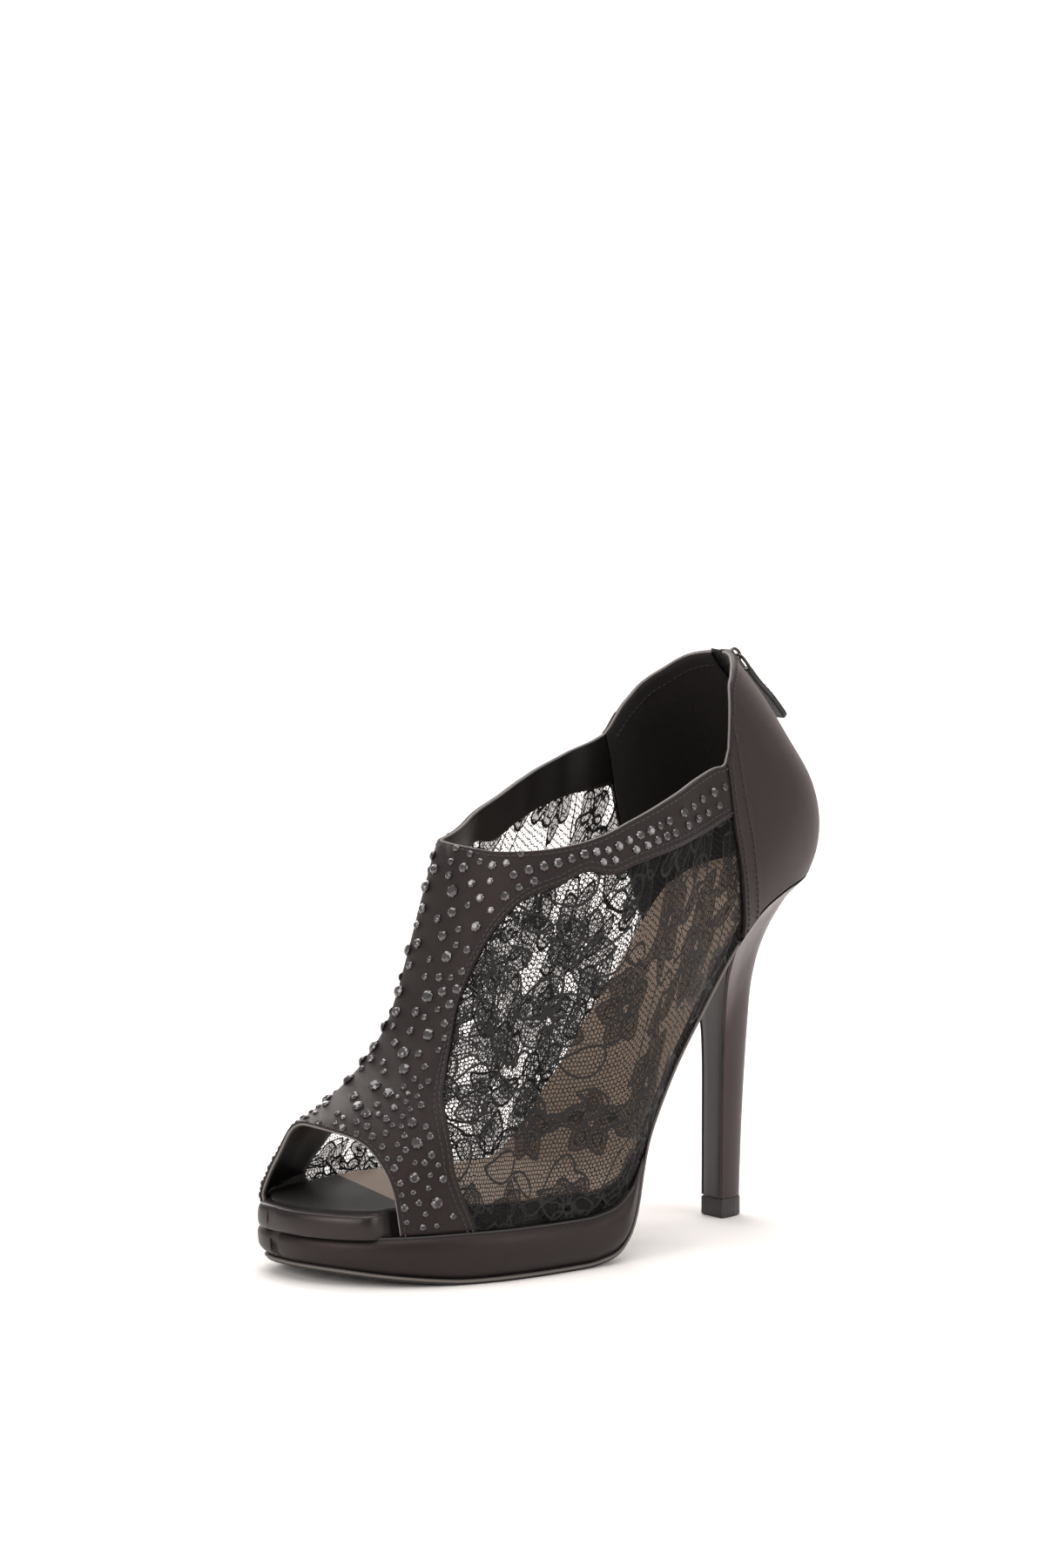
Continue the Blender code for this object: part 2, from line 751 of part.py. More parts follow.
def make_platform(material):
    """The satin-wrapped platform, ending in a wedge behind the ball."""
    rings = []
    for t in stations_from(station(PLATFORM_BACK_AT)):
        fore = ramp(share(t), PLATFORM_BACK_AT, PLATFORM_FULL_AT)
        ring = []
        for side in (1, -1):
            column = []
            for up, swell in PLATFORM_SIDE:
                out = SIDE_SWELL * swell * fore - WEDGE_INSET * (1 - fore)
                top = edge(t, side, out, bed, 0.0)
                low = edge(t, side, out, joint_line, GAP)
                column.append(low.lerp(top, up))
            ring += column if side > 0 else reversed(column)
        rings.append(ring)
    return loft("platform", rings, material)


def insole_thickness(forward):
    fore = ramp(forward / LAST_LENGTH, INSOLE_THIN_AT, INSOLE_THICK_AT)
    return INSOLE_REAR + (INSOLE_FORE - INSOLE_REAR) * fore


def inner_wall(t, side, lift, inset):
    """A point inside the upper's faceted wall, at a height over the bed."""
    tall = INSTEP_HEIGHT * section("crown", t)
    top = wall_top(t, side)
    rows = [top * row_spot(t, j / ROWS) for j in range(ROWS + 1)]
    j = max(k for k in range(ROWS) if rows[k] * tall <= lift)
    low = wall(t, side, rows[j], inset)
    high = wall(t, side, rows[j + 1], inset)
    return low.lerp(high, (lift / tall - rows[j]) / (rows[j + 1] - rows[j]))


def insole_side(t, side, lift, inset, back=0.0):
    """The insole's side at a height: inside the upper's wall, then out as a rim in the toe opening."""
    open_toe = ramp(share(t), RIM_START_AT[side], RIM_FULL_AT[side])
    point = inner_wall(t, side, lift, inset).lerp(edge(t, side, RIM - back), open_toe)
    forward = BALL_AT * LAST_LENGTH - point.y
    point.z = bed(forward) + lift * steepness(bed, forward)
    return point


def make_insole(material):
    """The board that the foot stands on, thick and wrapped where it shows at the toe."""
    inset = OVERLAY + LAYER_GAP + UPPER_WALL + LAYER_GAP
    rings = []
    for t in stations_from(INSOLE_START, keep=[station(RIM_START_AT[side]) for side in (1, -1)]):
        thick = insole_thickness(share(t) * LAST_LENGTH)
        ring = []
        for side in (1, -1):
            column = []
            for up, back in INSOLE_SIDE:
                lift = LAYER_GAP + (thick - LAYER_GAP) * up
                column.append(insole_side(t, side, lift, inset, back * RIM_ROUND))
            ring += column if side > 0 else reversed(column)
        rings.append(ring)
    return loft("insole", rings, material)


def make_sock(material):
    """The lining sheet glued on the insole, a little inside its edge."""
    inset = OVERLAY + LAYER_GAP + UPPER_WALL + LAYER_GAP + SOCK_MARGIN
    rings = []
    for t in stations_from(SOCK_START, SOCK_END):
        thick = insole_thickness(share(t) * LAST_LENGTH)
        ring = []
        for side in (1, -1):
            column = []
            for lift in (thick + GAP + SOCK, thick + GAP):
                point = insole_side(t, side, lift, inset)
                rim_back = (RIM + SOCK_RIM_STEP) * ramp(share(t), RIM_START_AT[side], RIM_FULL_AT[side])
                nx, nf = plan_normal(t, side)
                point.x -= nx * rim_back
                point.y += nf * rim_back
                column.append(point)
            ring += column if side > 0 else reversed(column)
        rings.append(ring)
    return loft("sock", rings, material)


def heel_value(name, level):
    return smooth(HEEL_COLUMNS, HEEL, name, level, "level")


def heel_point(level, spoke, out=0.0):
    """Spoke 0 is the heel's back, -1 and 1 its breast edges on the inner and outer side."""
    side = 1 if spoke >= 0 else -1
    turn = abs(spoke) * math.pi / 2
    middle = HEEL_TIP_AT * LAST_LENGTH
    back = middle + TIP_LENGTH * heel_value("back", level) - out
    front = middle + TIP_LENGTH * heel_value("front", level) + out
    half = TIP_WIDTH * heel_value("half", level) + out
    stem_x = side * half * math.sin(turn) ** HEEL_ROUND
    stem_forward = front - (front - back) * max(0.0, math.cos(turn)) ** HEEL_ROUND
    seat = edge(abs(spoke) * station(SEAT_FRONT_AT), side, -HEEL_INSET, bed, -GAP)
    spread = heel_value("spread", level)
    stem = to_world(stem_x, stem_forward, 0.0)
    point = stem.lerp(seat, spread)
    point.z = TOP_PIECE + (seat.z - TOP_PIECE) * level
    return point


def heel_ring(level, out=0.0):
    """Round the back from breast edge to breast edge, then across the flat breast."""
    ring = [heel_point(level, 2 * i / (2 * HEEL_SPOKES) - 1, out) for i in range(2 * HEEL_SPOKES + 1)]
    for i in range(1, BREAST_SPOKES):
        ring.append(ring[2 * HEEL_SPOKES].lerp(ring[0], i / BREAST_SPOKES))
    return ring


def heel_levels():
    return [1 - (1 - i / HEEL_LEVELS) ** HEEL_CROWDING for i in range(HEEL_LEVELS + 1)]


def make_heel(material):
    """The covered stiletto, cupped at the top to the seat that it carries."""
    bm = bmesh.new()
    grid = [[bm.verts.new(point) for point in heel_ring(level)] for level in heel_levels()]
    count = len(grid[0])
    for near, far in zip(grid, grid[1:]):
        for k in range(count):
            bm.faces.new((near[k - 1], near[k], far[k], far[k - 1]))
    bm.faces.new(list(reversed(grid[0])))
    top = grid[-1]
    for i in range(HEEL_SPOKES - 1):
        bm.faces.new((top[i], top[i + 1], top[2 * HEEL_SPOKES - i - 1], top[2 * HEEL_SPOKES - i]))
    bm.faces.new((top[HEEL_SPOKES - 1], top[HEEL_SPOKES], top[HEEL_SPOKES + 1]))
    bm.faces.new(top[2 * HEEL_SPOKES:] + [top[0]])
    bmesh.ops.triangulate(bm, faces=bm.faces)
    return new_object("heel", bm, material)


def make_top_piece(material):
    """The wear piece under the heel's tip."""
    outline = heel_ring(0.0, TOP_PIECE_LEDGE)
    low = [Vector((point.x, point.y, 0.0)) for point in outline]
    high = [Vector((point.x, point.y, TOP_PIECE - GAP)) for point in outline]
    return loft("top_piece", [low, high], material)


def breast_point(level, across, out):
    """A point before the heel's breast: across runs -1 to 1, out is its distance off the face."""
    def raw(lv):
        inner = heel_point(lv, -1)
        outer = heel_point(lv, 1)
        return inner.lerp(outer, (across + 1) / 2)

    reach = 0.01
    rise = raw(min(1.0, level + reach)) - raw(max(0.0, level - reach))
    width = heel_point(level, 1) - heel_point(level, -1)
    normal = rise.cross(width).normalized()
    if normal.y > 0:
        normal = -normal
    return raw(level) + normal * out


def make_breast_cover(material):
    """The smooth panel that carries the outsole's finish down the heel's breast."""
    rings = []
    across = [BREAST_COVER_SPREAD * (2 * k / 3 - 1) for k in range(4)]
    for i in range(BREAST_COVER_LEVELS + 1):
        rise = i / BREAST_COVER_LEVELS
        level = BREAST_COVER_FOOT + (BREAST_COVER_TOP - BREAST_COVER_FOOT) * rise
        near = [breast_point(level, a, GAP) for a in across]
        far = [breast_point(level, a, GAP + BREAST_COVER) for a in reversed(across)]
        rings.append(near + far)
    return loft("breast_cover", rings, material)


def slider_frame():
    """Axes at the slider: across, out from the back and up along it, about the pull's hinge."""
    reach = 0.01
    up = collar_up(0.0, 1) - SLIDER_DROP / (INSTEP_HEIGHT * section("crown", 0.0))
    base = wall_raw(0.0, 1, up)
    along = (wall_raw(0.0, 1, up + reach) - wall_raw(0.0, 1, up - reach)).normalized()
    across = Vector((1.0, 0.0, 0.0))
    outward = along.cross(across).normalized()
    if outward.y < 0:
        outward = -outward
    base = off_bed(base) + outward * GAP
    return base, across, outward, along


def box_mesh(bm, frame, low, high):
    """A box between two corners given across, out and up in the frame."""
    base, across, outward, along = frame
    corners = []
    for k in range(8):
        x = (low, high)[k & 1][0]
        y = (low, high)[k >> 1 & 1][1]
        z = (low, high)[k >> 2 & 1][2]
        corners.append(bm.verts.new(base + across * x + outward * y + along * z))
    for face in ((0, 1, 3, 2), (4, 6, 7, 5), (0, 4, 5, 1), (2, 3, 7, 6), (0, 2, 6, 4), (1, 5, 7, 3)):
        bm.faces.new([corners[n] for n in face])


def frame_loop(bm, frame, outline, half):
    """Extrudes an outline, given out and up in the frame, half to each side across it."""
    base, across, outward, along = frame
    sides = []
    for x in (-half, half):
        sides.append([bm.verts.new(base + across * x + outward * y + along * z) for y, z in outline])
    left, right = sides
    for k in range(len(outline)):
        bm.faces.new((left[k - 1], left[k], right[k], right[k - 1]))
    bm.faces.new(list(reversed(left)))
    bm.faces.new(right)


def make_slider(material):
    """The zip's slider: a body on the chain with a bridge that holds the pull."""
    frame = slider_frame()
    bm = bmesh.new()
    half = SLIDER_LENGTH / 2
    low = (-SLIDER_WIDTH / 2, 0.0, -half)
    high = (SLIDER_WIDTH / 2, SLIDER_THICK, half)
    box_mesh(bm, frame, low, high)
    body = new_object("slider", bm, material)
    bm = bmesh.new()
    reach = BRIDGE_LENGTH / 2
    inside = reach - BRIDGE_BAR
    sunk = SLIDER_THICK / 2
    floor = SLIDER_THICK
    ceiling = floor + BRIDGE_OPENING
    crown = ceiling + BRIDGE_BAR
    outline = ((sunk, -reach), (ceiling, -reach), (crown, -inside), (crown, inside), (ceiling, reach),
               (sunk, reach), (sunk, inside), (ceiling, inside), (ceiling, -inside), (sunk, -inside))
    frame_loop(bm, frame, outline, BRIDGE_WIDTH / 2)
    bridge = new_object("slider_bridge_cutter", bm, material)
    bridge.hide_render = True
    bridge.display_type = "WIRE"
    union = body.modifiers.new("Bridge", "BOOLEAN")
    union.operation = "UNION"
    union.object = bridge
    return body


def pull_frame():
    """Axes at the hinge bar: across, out from the tab's face, and along the tab toward the bar."""
    base, across, outward, along = slider_frame()
    pivot = base + outward * (SLIDER_THICK + BRIDGE_OPENING / 2)
    down = Vector((0.0, math.cos(PULL_DROP), -math.sin(PULL_DROP)))
    face = across.cross(down).normalized()
    if face.z < 0:
        face = -face
    return pivot, across, face, -down


def make_pull(link_material, tab_material):
    """The metal link through the slider's bridge and the leather tab that hangs from it."""
    pivot, across, face, along = pull_frame()
    hinge = bpy.data.objects.new("pull_hinge", None)
    hinge.location = pivot
    bpy.context.scene.collection.objects.link(hinge)
    half = LINK_WIDTH / 2
    bar = LINK_BAR
    bm = bmesh.new()
    rings = []
    for y in (-bar / 2, bar / 2):
        end = bar / 2 - LINK_LENGTH
        outer = ((-half, bar / 2), (half, bar / 2), (half, end), (-half, end))
        inner = tuple((x * (1 - bar / half), z + (-bar if z > 0 else bar)) for x, z in outer)
        for loop in (outer, inner):
            rings.append([bm.verts.new(across * x + face * y + along * z) for x, z in loop])
    outer_back, inner_back, outer_front, inner_front = rings
    for k in range(4):
        bm.faces.new((outer_back[k - 1], outer_back[k], inner_back[k], inner_back[k - 1]))
        bm.faces.new((outer_front[k - 1], outer_front[k], inner_front[k], inner_front[k - 1]))
        bm.faces.new((outer_back[k - 1], outer_back[k], outer_front[k], outer_front[k - 1]))
        bm.faces.new((inner_back[k - 1], inner_back[k], inner_front[k], inner_front[k - 1]))
    link = new_object("pull_link", bm, link_material)
    link.parent = hinge
    top = bar / 2 - LINK_LENGTH - GAP
    bm = bmesh.new()
    sides = []
    for y in (-TAB_THICK / 2, TAB_THICK / 2):
        right = [(wide * TAB_WIDTH / 2, top - down * TAB_LENGTH) for down, wide in TAB_SHAPE]
        left = [(-wide * TAB_WIDTH / 2, top - down * TAB_LENGTH) for down, wide in reversed(TAB_SHAPE)]
        sides.append([bm.verts.new(across * x + face * y + along * z) for x, z in right + left])
    back, front = sides
    for k in range(len(back)):
        bm.faces.new((back[k - 1], back[k], front[k], front[k - 1]))
    bm.faces.new(list(reversed(back)))
    bm.faces.new(front)
    tab = new_object("pull_tab", bm, tab_material)
    tab.parent = hinge


def clear_scene():
    for obj in list(bpy.data.objects):
        bpy.data.objects.remove(obj, do_unlink=True)


def build():
    clear_scene()
    make_outsole(new_material("outsole", SHINY_BLACK, 0.5))
    make_platform(new_material("platform_satin", SATIN, 0.45))
    make_insole(new_material("insole_satin", SATIN, 0.4))
    make_sock(new_material("sock", NUDE, 0.6))
    make_upper(new_material("lace", LACE, 0.8))
    make_vamp_strap(new_material("strap_satin", SATIN, 0.45))
    make_counter(1, new_material("counter_satin", SATIN, 0.45))
    make_counter(-1, new_material("counter_satin_inner", SATIN, 0.45))
    make_zip_tape(new_material("zip_tape", TAPE_BLACK, 0.7))
    make_slider(new_material("slider_metal", GUNMETAL, 0.3, 1.0))
    make_pull(new_material("link_metal", GUNMETAL, 0.3, 1.0), new_material("tab_leather", LEATHER_BLACK, 0.4))
    make_heel(new_material("heel_satin", SATIN, 0.42))
    make_breast_cover(new_material("breast_cover", SHINY_BLACK, 0.35))
    make_top_piece(new_material("top_piece", PLASTIC_GREY, 0.5))


build()
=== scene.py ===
# %% [markdown]
# # A peep-toe ankle shoe in lace and satin
#
# The shoe is one left shoe. Its pieces were cut from one surface, the skin of the last, so this
# lesson starts with that surface and then dresses it piece by piece: lace, satin, stones,
# stitches, zip, sole and heel. Everything is in metres in the same frame as the CAD part: the
# toe points along -Y, the outer side is +X, and the floor is z = 0.

# %% Load the fixed frame
import functools
import math
import random

import bmesh
import bpy
import numpy as np
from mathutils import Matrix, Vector


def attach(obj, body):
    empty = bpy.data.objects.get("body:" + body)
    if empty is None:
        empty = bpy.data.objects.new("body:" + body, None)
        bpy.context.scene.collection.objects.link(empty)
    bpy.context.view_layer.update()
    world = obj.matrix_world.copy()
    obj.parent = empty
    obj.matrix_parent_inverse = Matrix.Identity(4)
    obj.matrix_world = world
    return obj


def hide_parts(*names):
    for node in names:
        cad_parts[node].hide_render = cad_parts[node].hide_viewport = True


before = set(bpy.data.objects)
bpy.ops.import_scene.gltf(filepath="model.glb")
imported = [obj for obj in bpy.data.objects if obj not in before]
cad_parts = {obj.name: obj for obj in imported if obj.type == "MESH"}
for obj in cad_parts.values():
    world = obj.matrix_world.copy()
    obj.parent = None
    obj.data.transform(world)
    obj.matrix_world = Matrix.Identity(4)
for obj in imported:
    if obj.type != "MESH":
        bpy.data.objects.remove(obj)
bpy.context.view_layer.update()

# %% [markdown]
# ## The camera
#
# The photograph looks at the shoe from a little above its toe and outer side. A long lens far
# away keeps the heel upright and the toe undistorted, as in a catalogue picture.

# %% Camera
camera = bpy.data.objects.new("camera", bpy.data.cameras.new("camera"))
camera.location = (1.1838, -0.9320, 0.3164)
toward_camera = Vector((0.77275, -0.62576, 0.10626))
camera.rotation_mode = "QUATERNION"
camera.rotation_quaternion = (-toward_camera).to_track_quat("-Z", "Y")
camera.data.sensor_width = 36.0
camera.data.lens = 107.9
camera.data.clip_end = 50.0
bpy.context.scene.collection.objects.link(camera)
bpy.context.scene.camera = camera
print("lens", camera.data.lens, "mm at", round(camera.location.length, 2), "m")

# %% [markdown]
# ## Floor and light
#
# A pale paper sweep runs under the shoe and up behind it, so no line shows where the floor
# ends. Large soft lamps give satin its broad highlights and keep the shadow faint.

# %% From bmesh to mesh
def as_mesh(bm, name):
    """Turns a finished bmesh into a mesh and lets the bmesh go."""
    mesh = bpy.data.meshes.new(name)
    bm.to_mesh(mesh)
    bm.free()
    return mesh


def closed_mesh(bm, name):
    """The same for a closed shell, with its faces turned outward first."""
    bmesh.ops.recalc_face_normals(bm, faces=bm.faces)
    return as_mesh(bm, name)


def show(obj):
    bpy.context.scene.collection.objects.link(obj)
    return obj


# %% Paper sweep
def paper_material():
    material = bpy.data.materials.new("paper")
    material.use_nodes = True
    nodes = material.node_tree.nodes
    shader = nodes["Principled BSDF"]
    shader.inputs["Base Color"].default_value = (0.90, 0.87, 0.85, 1)
    shader.inputs["Roughness"].default_value = 0.9
    shader.inputs["Specular IOR Level"].default_value = 0.1
    noise = nodes.new("ShaderNodeTexNoise")
    noise.inputs["Scale"].default_value = 900
    bump = nodes.new("ShaderNodeBump")
    bump.inputs["Strength"].default_value = 0.12
    bump.inputs["Distance"].default_value = 0.0003
    coords = nodes.new("ShaderNodeTexCoord")
    links = material.node_tree.links
    links.new(coords.outputs["Object"], noise.inputs["Vector"])
    links.new(noise.outputs["Fac"], bump.inputs["Height"])
    links.new(bump.outputs["Normal"], shader.inputs["Normal"])
    return material


def make_sweep():
    away = Vector((-toward_camera.x, -toward_camera.y, 0)).normalized()
    across = Vector((away.y, -away.x, 0))
    profile = [(-2.5, 0.0), (1.2, 0.0)]
    bend = 1.0
    for step in range(1, 17):
        turn = math.radians(90 * step / 16)
        profile.append((1.2 + bend * math.sin(turn), bend * (1 - math.cos(turn))))
    profile.append((2.2, 4.0))
    bm = bmesh.new()
    rows = []
    for distance, height in profile:
        row = []
        for side in (-4.0, 4.0):
            row.append(bm.verts.new(away * distance + across * side + Vector((0, 0, height))))
        rows.append(row)
    for near, far in zip(rows, rows[1:]):
        bm.faces.new((near[0], near[1], far[1], far[0]))
    mesh = as_mesh(bm, "sweep")
    mesh.shade_smooth()
    mesh.materials.append(paper_material())
    sweep = bpy.data.objects.new("sweep", mesh)
    show(sweep)


make_sweep()
print("sweep made")

# %% Lamps
def lamp(name, place, aim, size, power, color=(1, 1, 1)):
    light = bpy.data.lights.new(name, "AREA")
    light.shape = "RECTANGLE"
    light.size, light.size_y = size
    light.energy = power
    light.color = color
    obj = bpy.data.objects.new(name, light)
    obj.location = place
    obj.rotation_mode = "QUATERNION"
    obj.rotation_quaternion = (Vector(aim) - Vector(place)).to_track_quat("-Z", "Y")
    show(obj)


lamp("overhead", (0.1, 0.0, 1.5), (0, 0, 0.05), (1.4, 1.4), 18, (1, 0.985, 0.97))
lamp("front_left", (0.15, -1.5, 0.75), (0, 0, 0.08), (0.9, 0.9), 12, (1, 0.98, 0.96))
lamp("right", (1.5, 0.6, 0.7), (0, 0, 0.08), (0.8, 1.1), 9, (1, 0.98, 0.97))
lamp("back_left", (-1.2, 0.5, 0.9), (0, 0, 0.08), (0.9, 0.9), 7, (1, 0.98, 0.97))
lamp("backdrop", (-0.78, 0.63, 1.9), (-1.7, 1.38, 0.5), (2.4, 0.8), 26, (1, 0.975, 0.96))
world = bpy.data.worlds.new("studio")
world.use_nodes = True
world.node_tree.nodes["Background"].inputs["Color"].default_value = (0.96, 0.935, 0.92, 1)
world.node_tree.nodes["Background"].inputs["Strength"].default_value = 0.46
bpy.context.scene.world = world
bpy.context.scene.view_settings.view_transform = "Standard"

# %% [markdown]
# ## The last and its tables
#
# A shoe is built on a last, a solid form of the foot. Its sizes and cross-sections are given as
# shares of a few driving lengths, in the same tables as the CAD part uses, so every piece made
# here lies exactly where its solid does.

# %% Sizes
# Driving sizes of the last, the form that the shoe is built on.
LAST_LENGTH = 0.2075
BALL_WIDTH = 0.079
INSTEP_HEIGHT = 0.1185
SEAT_HEIGHT = 0.117
PLATFORM_HEIGHT = 0.0165
THROAT_HEIGHT = 0.135
BACK_HEIGHT = 0.193

# Driving sizes of the pieces.
OUTSOLE = 0.0018
INSOLE_FORE = 0.0078
INSOLE_REAR = 0.0028
UPPER_WALL = 0.0012
OVERLAY = 0.0009
RIM = 0.0034
SIDE_SWELL = 0.0022
WEDGE_INSET = 0.0009
OUTSOLE_INSET_FORE = 0.0004
OUTSOLE_INSET_WAIST = 0.0016
OUTSOLE_BEVEL_FORE = 0.0004
OUTSOLE_BEVEL_WAIST = 0.0026
RIM_ROUND = 0.0012
SOCK_RIM_STEP = 0.002
TIP_LENGTH = 0.0107
TIP_WIDTH = 0.0104
TOP_PIECE = 0.0068
TOP_PIECE_LEDGE = 0.0003
ZIP_WIDTH = 0.0062
SLIDER_WIDTH = 0.0068
SLIDER_LENGTH = 0.0086
SLIDER_THICK = 0.0022
BRIDGE_LENGTH = 0.0062
BRIDGE_OPENING = 0.0024
LINK_LENGTH = 0.0080
LINK_WIDTH = 0.0070
LINK_BAR = 0.0011
TAB_LENGTH = 0.0215
TAB_WIDTH = 0.0090
TAB_THICK = 0.0020
GAP = 0.0003
LAYER_GAP = 0.0007

# Places along the foot, as shares of the last's length.
BALL_AT = 0.70
HEEL_TIP_AT = 0.1445
SEAT_FRONT_AT = 0.222
PLATFORM_BACK_AT = 0.466
PLATFORM_FULL_AT = 0.526
OUTSOLE_WAIST_AT = 0.426
INSOLE_THIN_AT = 0.40
INSOLE_THICK_AT = 0.62
TOE_BLEND_AT = 0.78
INSOLE_START = 0.035
SOCK_START = 0.045
SOCK_END = 0.985
LEAN_REACH = 0.42
BELLY_AT = 0.24
BELLY_LIMIT = 0.225
BELLY_START = 4.0
RIM_START_AT = {1: 0.909, -1: 0.9875}
RIM_FULL_AT = {1: 0.945, -1: 0.9965}

# How steeply the pull hangs below level, and the slider's middle below the zip's top end.
PULL_DROP = math.radians(48.0)
SLIDER_DROP = 0.0049


print("last", LAST_LENGTH * 1000, "mm long, seat", SEAT_HEIGHT * 1000, "mm high")

# %% Tables
# Cross-sections from the heel's back to the toe. Widths and swell are shares of the ball's width,
# rise is a share of the seat's height above the platform, crown of the instep's height, and
# wedge of the platform's own thickness. The two fullness values shape each side's shoulder.
SECTION_COLUMNS = ("at", "medial", "lateral", "rise", "crown", "swell", "medial_full",
                   "lateral_full", "ridge", "wedge")
SECTIONS = (
    (0.000, 0.000, 0.000, 1.000, 1.120, 0.000, 3.20, 3.20, 0.000, 0.00),
    (0.030, 0.195, 0.195, 0.998, 1.140, 0.020, 3.20, 3.20, 0.000, 0.00),
    (0.070, 0.270, 0.275, 0.988, 1.160, 0.035, 3.20, 3.20, 0.000, 0.00),
    (0.130, 0.310, 0.325, 0.955, 1.200, 0.045, 3.20, 3.20, 0.000, 0.00),
    (0.180, 0.312, 0.340, 0.900, 1.230, 0.050, 3.20, 3.20, 0.000, 0.00),
    (0.230, 0.300, 0.345, 0.800, 1.270, 0.050, 3.00, 3.00, 0.000, 0.00),
    (0.310, 0.270, 0.370, 0.605, 1.320, 0.060, 2.80, 2.80, -0.020, 0.00),
    (0.390, 0.265, 0.410, 0.405, 1.380, 0.080, 2.50, 2.50, -0.030, 0.00),
    (0.440, 0.280, 0.445, 0.255, 1.430, 0.080, 2.30, 2.30, -0.040, 0.00),
    (0.466, 0.296, 0.465, 0.170, 1.450, 0.075, 2.20, 2.20, -0.040, 0.22),
    (0.482, 0.308, 0.476, 0.122, 1.460, 0.070, 2.15, 2.15, -0.045, 0.70),
    (0.520, 0.335, 0.495, 0.040, 1.470, 0.060, 2.00, 2.10, -0.050, 1.00),
    (0.570, 0.375, 0.505, 0.006, 1.450, 0.040, 1.75, 2.00, -0.055, 1.00),
    (0.620, 0.420, 0.505, 0.000, 1.310, 0.030, 1.35, 1.90, -0.055, 1.00),
    (0.690, 0.470, 0.500, 0.000, 1.050, 0.010, 1.10, 1.80, -0.060, 1.00),
    (0.730, 0.485, 0.490, 0.000, 0.850, 0.000, 1.00, 1.80, -0.060, 1.00),
    (0.756, 0.490, 0.480, 0.000, 0.695, 0.000, 1.00, 1.80, -0.065, 1.00),
    (0.780, 0.490, 0.465, 0.000, 0.570, 0.000, 1.00, 1.90, -0.070, 1.00),
    (0.830, 0.475, 0.425, 0.000, 0.430, 0.000, 1.05, 2.00, -0.090, 0.98),
    (0.870, 0.455, 0.380, -0.002, 0.365, 0.000, 1.10, 2.10, -0.105, 0.91),
    (0.920, 0.425, 0.290, -0.006, 0.310, 0.000, 1.15, 2.20, -0.120, 0.80),
    (0.960, 0.385, 0.170, -0.010, 0.280, 0.000, 1.15, 2.20, -0.130, 0.70),
    (0.985, 0.330, 0.040, -0.012, 0.265, 0.000, 1.15, 2.20, -0.130, 0.65),
    (1.000, 0.200, -0.150, -0.013, 0.255, 0.000, 1.15, 2.20, -0.130, 0.63),
)
RIDGE_ROUNDING = 8.0
RIDGE_ROUNDNESS = 2.0

# The back seen from the side: height over the seat and forward lean as shares of the instep's
# height, and how much of the width is kept at that height.
BACK_COLUMNS = ("height", "lean", "keep")
BACK = (
    (0.00, 0.000, 1.00),
    (0.06, -0.028, 1.00),
    (0.13, -0.038, 1.00),
    (0.25, -0.012, 0.99),
    (0.40, 0.088, 0.94),
    (0.52, 0.175, 0.86),
    (0.64, 0.280, 0.76),
    (0.80, 0.420, 0.70),
    (1.20, 0.800, 0.70),
)

# The topline: place forward of the back as a share of length, and height on each side as a
# share of the way from the throat up to the back's top.
COLLAR_COLUMNS = ("at", "medial", "lateral")
COLLAR = (
    (0.140, 1.000, 1.000),
    (0.165, 0.985, 0.995),
    (0.181, 0.955, 0.972),
    (0.201, 0.880, 0.935),
    (0.222, 0.820, 0.875),
    (0.240, 0.763, 0.790),
    (0.252, 0.715, 0.600),
    (0.260, 0.690, 0.420),
    (0.266, 0.670, 0.390),
    (0.290, 0.575, 0.367),
    (0.300, 0.530, 0.358),
    (0.309, 0.500, 0.348),
    (0.318, 0.485, 0.337),
    (0.376, 0.410, 0.272),
    (0.457, 0.300, 0.158),
    (0.530, 0.184, 0.060),
    (0.614, 0.070, -0.005),
    (0.680, 0.010, -0.022),
    (0.712, 0.000, 0.000),
    (0.760, 0.000, 0.000),
)

# The toe opening's edge: round the toe from the outer sole edge (0) over the ridge (1) to the
# inner sole edge (2), with its place along the foot.
TOE_EDGE_COLUMNS = ("round", "at")
TOE_EDGE = (
    (0.00, 0.907),
    (0.25, 0.907),
    (0.60, 0.917),
    (0.85, 0.933),
    (1.00, 0.958),
    (1.12, 0.974),
    (1.35, 0.984),
    (1.70, 0.986),
    (2.00, 0.986),
)

# The counter's front edge: height up the wall and place along the foot on each side.
COUNTER_COLUMNS_NAMED = ("height", "medial", "lateral")
COUNTER_FRONT = (
    (0.00, 0.223, 0.223),
    (0.10, 0.243, 0.242),
    (0.20, 0.252, 0.247),
    (0.30, 0.257, 0.242),
    (0.40, 0.259, 0.225),
    (0.50, 0.259, 0.200),
)
COUNTER_CORNER = {1: 0.225, -1: 0.259}

